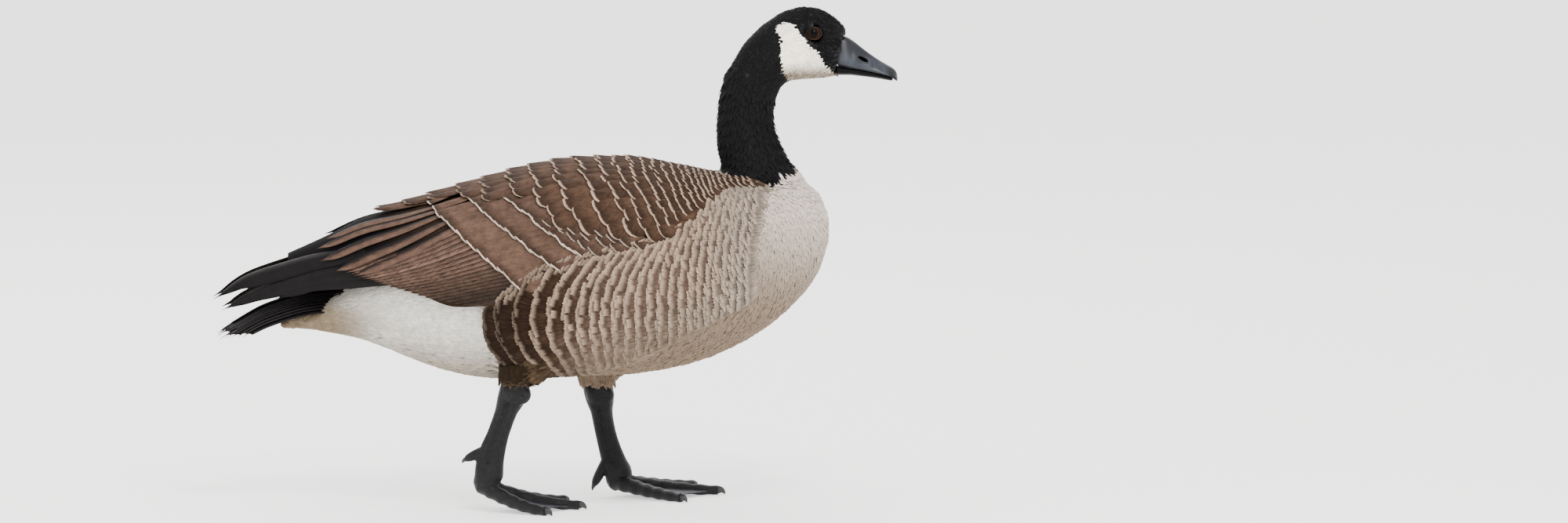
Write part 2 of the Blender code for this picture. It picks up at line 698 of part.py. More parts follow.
def plate(name, rows, collection):
    """A thin closed vane. Each row holds its upper left, upper right, lower right and lower left points."""
    shape = bmesh.new()
    corners = [[shape.verts.new(p) for p in row] for row in rows]
    for near, far in zip(corners, corners[1:]):
        for i in range(4):
            j = (i + 1) % 4
            if i < 2:
                shape.faces.new((near[i], near[j], far[j]))
                shape.faces.new((near[i], far[j], far[i]))
            else:
                shape.faces.new((near[i], near[j], far[i]))
                shape.faces.new((near[j], far[j], far[i]))
    for end in (corners[0][::-1], corners[-1]):
        shape.faces.new((end[0], end[1], end[2]))
        shape.faces.new((end[0], end[2], end[3]))
    bmesh.ops.recalc_face_normals(shape, faces=shape.faces)
    mesh = bpy.data.meshes.new(name)
    shape.to_mesh(mesh)
    shape.free()
    return add_object(name, mesh, collection)


def rise_of(place):
    """How far round the folded wings' outline a point near it lies."""
    top, half_width, widest = read_smoothly(FOLD_STATIONS, [place.x])[0]
    power = UPPER_FULLNESS / 2
    out = (abs(place.y) / half_width) ** power
    up = (place.z - widest) / (top - widest)
    return math.atan2(math.copysign(abs(up) ** power, up), out) / (math.pi / 2)


def most_rise(x):
    """The rise at which the folded wing's outline comes as near the mid line as a vane may."""
    half_width = read_smoothly(FOLD_STATIONS, [x])[0][1]
    return math.acos((MID_LINE_CLEARANCE / half_width) ** (UPPER_FULLNESS / 2)) / (math.pi / 2)


def tucked(place):
    """How far, from 0 to 1, a point of a vane lies under the feathers of the flank and the shoulder."""
    flank = read_smoothly(FLANK_LINE, [place.x])[0][0]
    under_flank = (flank + TUCK_SLOPE / 2 - place.z) / TUCK_SLOPE if place.x > FLANK_LINE[-1][0] else 0
    return float(np.clip(max(under_flank, (place.x - TUCK_FRONT) / TUCK_SLOPE), 0, 1))


def wing_vane(root, tip, half_width, side, shape, collection, lift=VANE_LIFT, sink=VANE_SINK):
    """A vane on the folded wing from root to tip, each given as x and rise, its upper edge held higher."""
    rows = []
    for share, width in shape:
        x = root[0] + (tip[0] - root[0]) * share
        rise = root[1] + (tip[1] - root[1]) * share
        middle = fold_point(x, rise, side)
        ahead = fold_point(x - 0.001, rise + (tip[1] - root[1]) * 0.001 / (root[0] - tip[0]), side) - middle
        out = fold_point(x, rise, side, sunk=-0.001) - middle
        up = out.cross(ahead).normalized() * -side
        height = -sink + (lift + sink) * share
        row = []
        for edge in (1, -1):
            place = middle + up * edge * width * half_width
            edge_rise = min(rise_of(place), most_rise(place.x))
            raised = height + edge * width * half_width * VANE_TILT - TUCK * tucked(place)
            row.append(tuple(fold_point(place.x, edge_rise, side, sunk=-raised)))
            row.append(tuple(fold_point(place.x, edge_rise, side, sunk=VANE_THICKNESS - raised)))
        rows.append([row[0], row[2], row[3], row[1]])
    return plate("vane", rows, collection)


def along(points, share):
    """The point at this share of a list of points, taken as evenly spaced, on a smooth curve."""
    places = np.linspace(0, 1, len(points))
    return read_smoothly([(place, *point) for place, point in zip(places, points)], [share])[0]


def covert_vanes(side, collection):
    vanes = []
    for first, last, count, length, half_width, first_slope, last_slope in COVERTS:
        for share in np.linspace(0, 1, count):
            x, z = along((first, last), share)
            slope = math.radians(first_slope + (last_slope - first_slope) * share)
            root_x, root_z = x + length * math.cos(slope), z + length * math.sin(slope)
            root, tip = (root_x, rise_at(root_x, root_z)), (x, rise_at(x, z))
            vanes.append(wing_vane(root, tip, half_width, side, COVERT_SHAPE, collection))
    return vanes


def flight_vanes(side, collection):
    vanes = []
    for share in np.linspace(1, 0, SECONDARIES):
        x, z = along(SECONDARY_TIPS, share)
        root_x, root_z = along(SECONDARY_ROOTS, share)
        root, tip = (root_x, rise_at(root_x, root_z)), (x, rise_at(x, z))
        vanes.append(wing_vane(root, tip, SECONDARY_HALF_WIDTH, side, FLIGHT_SHAPE, collection))
    for root_x, root_z, x, z, half_width in TERTIALS:
        root, tip = (root_x, rise_at(root_x, root_z)), (x, rise_at(x, z))
        vanes.append(wing_vane(root, tip, half_width, side, FLIGHT_SHAPE, collection))
    return vanes


def scapular_vanes(side, collection):
    vanes = []
    for row, (x, low, count, length, half_width) in enumerate(SCAPULARS):
        for rise in np.linspace(rise_at(x, low), TOP_RISE, count):
            drawn_in = 0.25 * half_width * (row % 2)
            root, tip = (x + length - drawn_in, min(rise + 0.02, TOP_RISE)), (x - drawn_in, rise)
            vanes.append(wing_vane(root, tip, half_width, side, COVERT_SHAPE, collection))
    return vanes


def build_primaries(name, side, collection):
    """The tips of the outer flight feathers, which show past the rest of the folded wing."""
    core = loft(name, [wing_ring(*row, side, sunk=PRIMARY_CORE_SUNK) for row in PRIMARY_CORE], collection)
    vanes = []
    for root_x, root_z, x, z, half_width, lift in PRIMARIES:
        root, tip = (root_x, rise_at(root_x, root_z)), (x, rise_at(x, z))
        vane = wing_vane(root, tip, half_width, side, FLIGHT_SHAPE, collection, lift, PRIMARY_SINK)
        vanes.append(vane)
    boolean(core, vanes, "UNION")
    return core


def tail_vane(index, collection):
    """One tail feather, numbered out from the middle, positive to the left."""
    out = abs(index) / (RECTRICES / 2 - 0.5)
    side = math.copysign(1, index)
    tip_x = TAIL_LINE[-1][0] + TAIL_ROUNDING * out**2
    rows = []
    for share, width in FLIGHT_SHAPE:
        x = RECTRIX_ROOT_X + (tip_x - RECTRIX_ROOT_X) * share
        z = read_smoothly(TAIL_LINE, [x])[0][0]
        z -= RECTRIX_STEP * (abs(index) - 0.5) + TAIL_ARCH * out**2
        y = side * out * (TAIL_SPREAD[0] + (TAIL_SPREAD[1] - TAIL_SPREAD[0]) * share)
        half = width * (RECTRIX_HALF_WIDTH[0] + (RECTRIX_HALF_WIDTH[1] - RECTRIX_HALF_WIDTH[0]) * share)
        drop = half * math.tan(RECTRIX_ROLL)
        row = []
        for edge in (1, -1):
            place = (x, y + side * edge * half, z - edge * drop)
            row.append(place)
            row.append((x, place[1], place[2] - VANE_THICKNESS))
        rows.append([row[0], row[2], row[3], row[1]])
    return plate("rectrix", rows, collection)


def build_tail(collection):
    rings = []
    for x, z, half_width, half_thickness in TAIL_CORE:
        rings.append(
            [
                (
                    x,
                    half_width * math.cos(turn),
                    z + half_thickness * math.sin(turn) - TAIL_CORE_ARCH * half_width * math.cos(turn) ** 2,
                )
                for turn in np.linspace(0, 2 * math.pi, TAIL_CORE_SIDES, endpoint=False)
            ]
        )
    core = loft("tail", rings, collection)
    indices = [side * (i + 0.5) for i in range(RECTRICES // 2) for side in (1, -1)]
    boolean(core, [tail_vane(index, collection) for index in indices], "UNION")
    return core


def tube(name, stations, count, sides, across, collection):
    """A tube through stations of x, y, z, radius across and radius the other way."""
    rows = read_path(stations, count)
    rings = []
    for i, row in enumerate(rows):
        ahead = Vector(rows[min(i + 1, count - 1)][:3]) - Vector(rows[max(i - 1, 0)][:3])
        ahead.normalize()
        first = (across - ahead * across.dot(ahead)).normalized()
        second = ahead.cross(first)
        middle = Vector(row[:3])
        rings.append(
            [
                tuple(middle + first * row[3] * math.cos(turn) + second * row[4] * math.sin(turn))
                for turn in np.linspace(0, 2 * math.pi, sides, endpoint=False)
            ]
        )
    return loft(name, rings, collection)


def build_leg(name, stations, collection):
    return tube(name, stations, LEG_RINGS, LEG_SIDES, ACROSS, collection)


def build_thigh(name, leg, side, collection):
    """A feathered cone from inside the flank down over the top of the leg."""
    first, second = Vector(leg[0][:3]), Vector(leg[1][:3])
    down = (second - first).normalized()
    stations = []
    for forward, out, rise, across, deep in THIGH_STATIONS:
        stations.append((*(first + Vector((forward, side * out, rise))), across, deep))
    across, deep = leg[0][3:]
    stations.append((*(first + down * THIGH_LAP), across + THIGH_CLEARANCE, deep + THIGH_CLEARANCE))
    return tube(name, stations, THIGH_RINGS, THIGH_SIDES, ACROSS, collection)


def toe_path(joint, reach, side):
    """A toe's line from the joint down to the floor and along it, with its radii."""
    behind, below = TOE_ROOT
    start = Vector(joint) + Vector((behind, 0, below))
    forward, out = reach[0] - behind, reach[1]
    flat = TOE_TIP_RADIUS - TOE_SOLE
    stations = []
    for share in np.linspace(0, 1, TOE_STATIONS):
        drop = (1 - share) ** TOE_DROP
        radius = TOE_ROOT_RADIUS + (TOE_TIP_RADIUS - TOE_ROOT_RADIUS) * share
        low = flat + (TOE_ROOT_RADIUS - TOE_TIP_RADIUS) * (1 - share)
        place = (
            start.x + forward * share,
            start.y + side * out * share,
            low + (start.z - low) * drop,
        )
        stations.append((*place, radius, radius))
    return stations


def web(name, first, second, collection):
    """The skin between two toes, its free edge drawn in towards the foot."""
    rings = []
    one, other = read_path(first, WEB_READINGS), read_path(second, WEB_READINGS)
    last = WEB_READINGS - 1
    for share in np.linspace(WEB_START, WEB_REACH, WEB_RINGS):
        left = Vector(one[round(share * last)][:3])
        right = Vector(other[round(share * last)][:3])
        behind = round(share * WEB_SCALLOP * last)
        middle = (Vector(one[behind][:3]) + Vector(other[behind][:3])) / 2
        upper, lower = UP * (WEB_THICKNESS / 2 - WEB_SINK), UP * (WEB_THICKNESS / 2 + WEB_SINK)
        ring = [tuple(p + upper) for p in (left, middle, right)]
        rings.append(ring + [tuple(p - lower) for p in (right, middle, left)])
    return loft(name, rings, collection)


def claw(name, tip, direction, radius, length, collection):
    """A curved claw that starts just past the toe's end."""
    ahead = Vector(direction).normalized()
    across = ahead.cross(UP).normalized()
    start = Vector(tip) + ahead * GAP
    stations = []
    for share, scale in CLAW_STATIONS:
        place = start + ahead * length * share - UP * CLAW_CURVE * length * share**2
        stations.append((*place, radius * scale * CLAW_FLATTENING, radius * scale))
    return tube(name, stations, CLAW_RINGS, CLAW_SIDES, across, collection)


def build_foot(side_name, side, leg, hind, collection):
    """Three webbed toes as one piece, and the claws of all four toes."""
    end = Vector(leg[-1][:3])
    down = (end - Vector(leg[-2][:3])).normalized()
    joint = end + down * (GAP + ANKLE_DROP)
    stations = [(*(end + down * GAP), leg[-1][3] - ANKLE_INSET, leg[-1][4] - ANKLE_INSET)]
    for forward, drop, across, deep in ANKLE:
        stations.append((*(joint + Vector((forward, 0, -drop))), across, deep))
    foot = tube("foot_" + side_name, stations, ANKLE_RINGS, LEG_SIDES, ACROSS, collection)
    toes = {k: toe_path(joint, reach, side) for k, reach in TOE_SPREAD[side_name].items()}
    pieces = []
    for key, stations in toes.items():
        forward, out = TOE_SPREAD[side_name][key]
        across = Vector((-side * out, forward, 0)).normalized()
        pieces.append(tube("toe_" + key, stations, TOE_RINGS, TOE_SIDES, across, collection))
    pieces.append(web("web_inner", toes["inner"], toes["middle"], collection))
    pieces.append(web("web_outer", toes["middle"], toes["outer"], collection))
    boolean(foot, pieces, "UNION")
    trim_at_floor(foot)
    claws = []
    for key, stations in toes.items():
        direction = Vector(stations[-1][:3]) - Vector(stations[-2][:3])
        name = f"claw_{side_name}_{key}"
        tip = Vector(stations[-1][:3]) + UP * CLAW_TIP_RISE
        radius = TOE_TIP_RADIUS * CLAW_SLENDERNESS
        claws.append(claw(name, tip, direction, radius, CLAW_LENGTH, collection))
    tip = Vector(hind[-1][:3])
    direction = tip - Vector(hind[-2][:3])
    radius = hind[-1][3] * CLAW_SLENDERNESS
    claws.append(claw(f"claw_{side_name}_hind", tip, direction, radius, HIND_CLAW_LENGTH, collection))
    return foot, claws


def trim_at_floor(obj):
    """Flattens what reaches below the floor, so that the toes stand on it."""
    bpy.ops.mesh.primitive_cube_add(size=1, location=(0, 0, -0.5))
    floor = bpy.context.object
    floor.data.transform(floor.matrix_world)
    floor.matrix_world.identity()
    boolean(obj, [floor], "DIFFERENCE")


def material(name):
    made = bpy.data.materials.new(name)
    made.use_nodes = True
    shader = made.node_tree.nodes["Principled BSDF"]
    shader.inputs["Base Color"].default_value = (*COLOURS[name], 1)
    shader.inputs["Roughness"].default_value = ROUGHNESS.get(name, FEATHER_ROUGHNESS)
    shader.inputs["Metallic"].default_value = 0
    return made


def finish_node(obj, paint):
    obj.data.materials.clear()
    obj.data.materials.append(paint)
    obj.data.shade_smooth()
    obj.data.set_sharp_from_angle(angle=math.radians(40))


def hind_toe(leg, side_name, side):
    """The hind toe's line: it leaves the back of the leg above the joint."""
    forward, out, up = HALLUX_ROOT[side_name]
    back, down = HALLUX_REACH[side_name]
    root = Vector(leg[-1][:3]) + Vector((forward, side * out, up))
    step = Vector((-back, -side * HALLUX_TURN, -down))
    return [(*(root + step * share), r, r) for share, r in zip((0, 0.5, 1), HALLUX_RADIUS)]


def main():
    for obj in list(bpy.data.objects):
        bpy.data.objects.remove(obj)
    goose = bpy.data.collections.new("canada_goose")
    bpy.context.scene.collection.children.link(goose)

    torso = build_trunk(goose)
    root = loft("neck_root", [neck_ring(s) for s in NECK_ROOT], goose)
    boolean(torso, [root], "UNION")
    rump = build_rump(goose)
    neck = build_neck(goose)
    head = build_head(goose)
    upper_bill = build_upper_bill(goose)
    lower_bill = build_lower_bill(goose)
    eyes = build_eyes(goose)
    add_lids(head)
    cut_by(head, [upper_bill, lower_bill, *eyes], goose)
    cut_by(neck, [torso], goose)

    nodes = {"breast": [torso], "white": [rump], "black": [neck, head], "bill": [upper_bill, lower_bill]}
    nodes["eye"] = eyes
    nodes["brown"], nodes["flight"] = [], []
    for side_name, side in (("left", 1), ("right", -1)):
        wing = build_wing("wing_" + side_name, side, goose)
        feathers = flight_vanes(side, goose) + covert_vanes(side, goose) + scapular_vanes(side, goose)
        boolean(wing, feathers, "UNION")
        cut_by(wing, [torso, rump], goose)
        nodes["brown"].append(wing)
        primaries = build_primaries("primaries_" + side_name, side, goose)
        cut_by(primaries, [wing], goose)
        nodes["flight"].append(primaries)
    tail = build_tail(goose)
    cut_by(tail, [rump, *nodes["flight"]], goose)
    nodes["flight"].append(tail)

    nodes["thigh"], nodes["leg"], nodes["claw"] = [], [], []
    for side_name, side, leg in (("left", 1, LEFT_LEG), ("right", -1, RIGHT_LEG)):
        shank = build_leg("leg_" + side_name, leg, goose)
        hind = hind_toe(leg, side_name, side)
        spur = tube("hallux", hind, HALLUX_RINGS, HALLUX_SIDES, ACROSS, goose)
        boolean(shank, [spur], "UNION")
        thigh = build_thigh("thigh_" + side_name, leg, side, goose)
        cut_by(shank, [torso, rump], goose)
        cut_by(thigh, [torso, rump, shank], goose)
        foot, claws = build_foot(side_name, side, leg, hind, goose)
        cut_by(foot, [shank], goose)
        nodes["thigh"].append(thigh)
        nodes["leg"] += [shank, foot]
        nodes["claw"] += claws

    for name, members in nodes.items():
        paint = material(name)
        for obj in members:
            finish_node(obj, paint)


main()
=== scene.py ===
"""Canada goose in its plumage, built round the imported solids.

The bird faces +X, its left side is +Y and it stands on z = 0. Lengths are in metres.
One skin takes the place of the solids' flesh, and thousands of small mesh feathers lie over it
along the coat. The folded wings, the flank's bars and the back are laid in rows on one outline.
"""

import math
from functools import lru_cache, partial
from itertools import product

import bpy
import numpy as np
from bpy.props import FloatProperty, FloatVectorProperty, IntProperty, PointerProperty
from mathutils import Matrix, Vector
from mathutils.bvhtree import BVHTree


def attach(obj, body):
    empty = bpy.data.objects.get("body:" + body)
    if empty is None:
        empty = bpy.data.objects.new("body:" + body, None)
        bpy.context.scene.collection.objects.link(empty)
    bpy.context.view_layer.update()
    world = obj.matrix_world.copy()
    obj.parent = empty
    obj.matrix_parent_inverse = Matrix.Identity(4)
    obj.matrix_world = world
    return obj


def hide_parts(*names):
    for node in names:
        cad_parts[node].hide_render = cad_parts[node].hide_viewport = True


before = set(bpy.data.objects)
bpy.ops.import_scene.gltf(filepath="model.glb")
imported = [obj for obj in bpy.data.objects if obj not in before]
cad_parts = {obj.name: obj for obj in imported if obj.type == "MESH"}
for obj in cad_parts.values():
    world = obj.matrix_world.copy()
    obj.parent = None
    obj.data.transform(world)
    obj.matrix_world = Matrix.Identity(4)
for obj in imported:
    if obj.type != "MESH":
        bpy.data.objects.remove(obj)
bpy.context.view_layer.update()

bl_info = {
    "name": "Canada Goose",
    "version": (1, 0, 0),
    "blender": (4, 5, 0),
    "location": "3D View > Sidebar > Goose",
    "description": "Builds a life-size Canada goose with its feathers",
    "category": "Object",
}

FLESH = ("torso", "rump", "neck", "head", "thigh_left", "thigh_right")
SIDES = (("left", 1), ("right", -1))
LOWER_FULLNESS = 2.2
UPPER_FULLNESS = 2.3
STEP = 0.002
"""How far apart the outline is read to find its slopes."""
CLOSE_SEAMS = 0.0004
MOUTH_GAP = 0.0006
NEARLY_BLACK = (0.001, 0.001, 0.001, 1)
TUFT_FEATHERS = 700

# The trunk with its folded wings: x, top, bottom, half width, height of the widest line
HULL = (
    (0.274, 0.288, 0.262, 0.014, 0.275), (0.269, 0.306, 0.243, 0.037, 0.273),
    (0.257, 0.318, 0.22, 0.058, 0.267), (0.235, 0.329, 0.196, 0.081, 0.256),
    (0.205, 0.33, 0.172, 0.1, 0.243), (0.165, 0.3295, 0.1505, 0.118, 0.229),
    (0.12, 0.3365, 0.136, 0.1305, 0.218), (0.07, 0.343, 0.1285, 0.137, 0.213),
    (0.02, 0.3415, 0.127, 0.1355, 0.211), (-0.03, 0.3335, 0.124, 0.126, 0.211),
    (-0.066, 0.324, 0.1235, 0.115, 0.212), (-0.11, 0.3115, 0.136, 0.099, 0.213),
    (-0.15, 0.3, 0.15, 0.081, 0.216), (-0.19, 0.29, 0.166, 0.062, 0.22),
    (-0.23, 0.271, 0.173, 0.044, 0.222), (-0.27, 0.254, 0.177, 0.031, 0.214),
    (-0.31, 0.2365, 0.178, 0.023, 0.202), (-0.345, 0.208, 0.179, 0.018, 0.188),
)

# Side view of the lie of the coat: x, z, and which way the feathers point there
LIE = (
    (0.286, 0.464, -0.95, 0.3), (0.268, 0.49, -0.98, 0.2), (0.245, 0.498, -1.0, -0.1),
    (0.215, 0.488, -0.8, -0.6), (0.19, 0.465, -0.55, -0.84), (0.165, 0.42, -0.15, -0.99),
    (0.161, 0.38, 0.0, -1.0), (0.163, 0.35, 0.0, -1.0), (0.165, 0.332, -0.55, -0.84),
    (0.257, 0.472, -1.0, 0.0), (0.24, 0.455, -0.85, -0.53), (0.275, 0.436, -1.0, -0.05),
    (0.24, 0.427, -1.0, -0.1), (0.205, 0.44, -0.45, -0.89), (0.222, 0.41, -0.4, -0.92),
    (0.19, 0.4, -0.05, -1.0), (0.216, 0.385, 0.0, -1.0), (0.222, 0.365, 0.3, -0.95),
    (0.192, 0.35, 0.05, -1.0), (0.24, 0.343, 0.6, -0.8), (0.205, 0.32, 0.05, -1.0),
    (0.262, 0.312, 0.4, -0.92), (0.274, 0.28, 0.0, -1.0), (0.235, 0.29, 0.0, -1.0),
    (0.262, 0.235, -0.4, -0.92), (0.235, 0.195, -0.75, -0.66), (0.2, 0.26, -0.45, -0.89),
    (0.19, 0.162, -0.92, -0.38), (0.175, 0.3, -0.5, -0.86), (0.15, 0.23, -0.75, -0.66),
    (0.12, 0.132, -1.0, -0.08), (0.1, 0.18, -0.97, -0.25), (0.0, 0.121, -1.0, 0.0),
    (0.0, 0.19, -1.0, -0.05), (-0.07, 0.16, -1.0, 0.05), (-0.12, 0.14, -1.0, 0.25),
    (-0.2, 0.17, -1.0, 0.15), (-0.2, 0.215, -1.0, -0.2),
)

# Where the black of the neck ends, seen from the side, back to front
COLLAR = (
    (0.15, 0.33), (0.165, 0.329), (0.178, 0.317), (0.19, 0.311), (0.206, 0.314), (0.222, 0.323),
    (0.25, 0.334),
)
# Where the head's shorter feathers begin, as the collar, and the white cheek's outline
HEAD_EDGE = ((0.15, 0.452), (0.2, 0.43), (0.2225, 0.405), (0.3, 0.4))
CHEEK = (
    (0.225, 0.48), (0.23, 0.4825), (0.235, 0.48), (0.239, 0.4745), (0.245, 0.4675), (0.251, 0.46),
    (0.259, 0.451), (0.2645, 0.444), (0.2705, 0.437), (0.2705, 0.433), (0.279, 0.429), (0.279, 0.41),
    (0.23, 0.41), (0.23, 0.424), (0.2245, 0.432), (0.2225, 0.444), (0.2225, 0.46), (0.223, 0.466),
    (0.218, 0.473), (0.2195, 0.478),
)

# Wing line: where the flank's feathers lap over the folded wing, front to back
WING_LINE = (
    (0.17, 0.328), (0.15, 0.314), (0.11, 0.279), (0.04, 0.262), (-0.01, 0.247), (-0.036, 0.233),
    (-0.066, 0.207),
)
# Lower edge of the wing's plate, how deep it lies and how thick it is, along x
WING_EDGE = (
    (0.16, 0.318), (0.11, 0.284), (0.04, 0.266), (-0.01, 0.25), (-0.036, 0.235), (-0.066, 0.21),
    (-0.1, 0.207), (-0.14, 0.22), (-0.18, 0.23), (-0.228, 0.237), (-0.268, 0.232),
)
WING_SINK = ((0.15, 0.0022), (-0.15, 0.0022), (-0.2, 0.0026), (-0.268, 0.004))
WING_DEPTH = ((0.15, 0.0016), (0.1, 0.007), (-0.06, 0.007), (-0.16, 0.004), (-0.268, 0.0014))
# Where the wing's long feathers hide the skin behind the flank
REAR_LINE = ((-0.3, 0.235), (-0.2, 0.236), (-0.15, 0.226), (-0.1, 0.212), (-0.062, 0.208))
# How much nearer the coat's surface the skin lies on the underside, along x
UNDERSIDE = (
    (-0.3, 0.0034), (-0.16, 0.0034), (-0.09, 0.0022), (-0.04, 0.0006), (0.07, -0.0006), (0.19, 0.0006),
)
# Where each bar of the flank lies at mid height, from the rear edge forwards
FLANK_BARS = (
    (-0.074, -0.06, -0.044, -0.027, -0.009, 0.007, 0.02, 0.032, 0.044, 0.055)
    + (0.066, 0.077, 0.088, 0.099, 0.11, 0.12, 0.129, 0.138, 0.146, 0.154, 0.162, 0.17, 0.178, 0.186)
)
# Shape of the bars along the flank: x, mid height, upper and lower bend in 1/m, how low they reach
BAR_SHAPE = (
    (-0.08, 0.196, 8.5, 9.0, 0.152), (-0.04, 0.197, 8.5, 9.0, 0.148), (0.0, 0.2, 8.5, 5.0, 0.148),
    (0.05, 0.208, 7.5, 1.0, 0.158), (0.09, 0.214, 5.0, 0.0, 0.176), (0.13, 0.224, 2.6, 0.0, 0.196),
    (0.19, 0.24, 1.5, 0.0, 0.222),
)
# Feathers of the flank along its length: x, length, half width, spacing
FLANK_SIZES = (
    (-0.08, 0.036, 0.0085, 0.0052), (0.03, 0.034, 0.008, 0.0049), (0.09, 0.03, 0.0066, 0.0042),
    (0.13, 0.024, 0.0052, 0.0036), (0.19, 0.017, 0.0038, 0.003),
)
# Rows of the shoulder and back, from the rear forwards: x at the top, length, half width, spacing
BACK_ROWS = (
    (-0.203, 0.08, 0.0085, 0.01), (-0.178, 0.08, 0.009, 0.011), (-0.152, 0.078, 0.0095, 0.011),
    (-0.126, 0.076, 0.01, 0.012), (-0.1, 0.074, 0.011, 0.0125), (-0.075, 0.07, 0.0115, 0.013),
    (-0.05, 0.066, 0.0125, 0.0135), (-0.027, 0.064, 0.013, 0.014), (-0.005, 0.06, 0.0135, 0.0145),
    (0.019, 0.056, 0.0135, 0.0145), (0.04, 0.05, 0.0125, 0.0135), (0.055, 0.044, 0.0115, 0.0125),
    (0.069, 0.04, 0.0105, 0.0115), (0.082, 0.036, 0.0095, 0.01), (0.093, 0.032, 0.0085, 0.009),
    (0.103, 0.029, 0.0075, 0.008), (0.112, 0.026, 0.0068, 0.0072), (0.12, 0.024, 0.0062, 0.0066),
    (0.127, 0.022, 0.0057, 0.006), (0.134, 0.02, 0.0053, 0.0055), (0.14, 0.019, 0.005, 0.0052),
    (0.146, 0.018, 0.0048, 0.005), (0.152, 0.017, 0.0046, 0.0048), (0.158, 0.016, 0.0044, 0.0046),
    (0.164, 0.016, 0.0043, 0.0045), (0.17, 0.015, 0.0042, 0.0044), (0.176, 0.015, 0.0041, 0.0043),
    (0.182, 0.015, 0.0041, 0.0043), (0.188, 0.015, 0.0041, 0.0043),
)
BACK_LEAN = 0.52
"""How far forward a row of the back runs for each metre down."""
# Lower limit of the back's rows along the body
BACK_LOW = (
    (-0.24, 0.275), (-0.16, 0.296), (-0.1, 0.306), (-0.048, 0.309), (-0.02, 0.3), (0.0, 0.286),
    (0.02, 0.276), (0.096, 0.276), (0.115, 0.287), (0.135, 0.303), (0.15, 0.314), (0.17, 0.322),
    (0.2, 0.322),
)
# Rows of wing coverts: first and last tip as x and z, how many, length, half width, slopes in degrees
COVERTS = (
    ((-0.128, 0.303), (-0.036, 0.228), 19, 0.062, 0.007, 20, 13),
    ((-0.09, 0.31), (-0.003, 0.249), 18, 0.052, 0.0066, 22, 15),
    ((-0.048, 0.309), (0.02, 0.262), 14, 0.042, 0.0062, 24, 16),
    ((-0.01, 0.29), (0.034, 0.264), 5, 0.034, 0.0072, 24, 18),
    ((0.014, 0.283), (0.056, 0.266), 4, 0.028, 0.007, 22, 18),
    ((0.04, 0.28), (0.078, 0.269), 4, 0.024, 0.0062, 22, 18),
)
# Secondaries: tips and roots as x and z from the uppermost to the lowest
SECONDARY_TIPS = (
    (-0.208, 0.2365), (-0.198, 0.233), (-0.185, 0.23), (-0.172, 0.2265), (-0.156, 0.2225),
    (-0.138, 0.2175), (-0.118, 0.213), (-0.095, 0.21),
)
SECONDARY_ROOTS = (
    (-0.09, 0.288), (-0.08, 0.2795), (-0.068, 0.27), (-0.056, 0.26), (-0.044, 0.251), (-0.033, 0.243),
    (-0.022, 0.235), (-0.008, 0.227),
)
SECONDARIES = 19
SECONDARY_HALF_WIDTH = 0.0076
# The longest inner feathers: root x and z, tip x and z, half width, bow
TERTIALS = (
    (-0.095, 0.288, -0.198, 0.2345, 0.0062, 0.01), (-0.1, 0.295, -0.219, 0.237, 0.006, 0.014),
    (-0.104, 0.3, -0.233, 0.246, 0.0056, 0.014), (-0.106, 0.303, -0.237, 0.2565, 0.0054, 0.008),
    (-0.108, 0.306, -0.228, 0.265, 0.0056, 0.0),
)
# Primaries of the upper and the lower group: root x and z, tip x and z, half width, lift
PRIMARIES = (
    (-0.15, 0.232, -0.28, 0.208, 0.006, -0.0006), (-0.155, 0.236, -0.308, 0.203, 0.0066, -0.0002),
    (-0.16, 0.24, -0.325, 0.1985, 0.007, 0.0002), (-0.17, 0.244, -0.333, 0.1955, 0.0074, 0.0006),
    (-0.18, 0.256, -0.322, 0.2135, 0.0078, 0.0008), (-0.185, 0.258, -0.332, 0.2095, 0.0082, 0.0011),
    (-0.19, 0.26, -0.34, 0.205, 0.0086, 0.0014),
)
# Tail
RECTRICES = 18
TAIL_LINE = ((-0.19, 0.216), (-0.24, 0.213), (-0.286, 0.201), (-0.322, 0.1815), (-0.3405, 0.17))
TAIL_SPREAD = (0.014, 0.04)
TAIL_ROOT_X, TAIL_ARCH, TAIL_ROUNDING = -0.19, 0.008, 0.02
TAIL_STEP = 0.0011
RECTRIX_HALF_WIDTH = (0.006, 0.0098)

# Bill: x, mouth line, culmen, half width at the mouth, half width of the ridge
UPPER_BILL = (
    (0.28, 0.438, 0.4672, 0.014, 0.0085), (0.288, 0.437, 0.4668, 0.015, 0.008),
    (0.296, 0.4359, 0.4624, 0.0142, 0.0066), (0.305, 0.4341, 0.4553, 0.0131, 0.0052),
    (0.315, 0.432, 0.4478, 0.013, 0.0048), (0.324, 0.4301, 0.4419, 0.0139, 0.0058),
    (0.332, 0.4277, 0.4374, 0.0136, 0.007), (0.337, 0.4243, 0.4338, 0.0108, 0.0062),
    (0.3393, 0.4226, 0.43, 0.0062, 0.004), (0.34, 0.4232, 0.427, 0.0022, 0.0016),
)
# x, underside, mouth line, half width
LOWER_BILL = (
    (0.278, 0.4284, 0.4382, 0.0118), (0.29, 0.4284, 0.4368, 0.0118), (0.305, 0.427, 0.4342, 0.0112),
    (0.32, 0.425, 0.431, 0.0112), (0.33, 0.4232, 0.4284, 0.0102), (0.334, 0.4226, 0.4268, 0.0074),
    (0.3356, 0.4232, 0.426, 0.003),
)
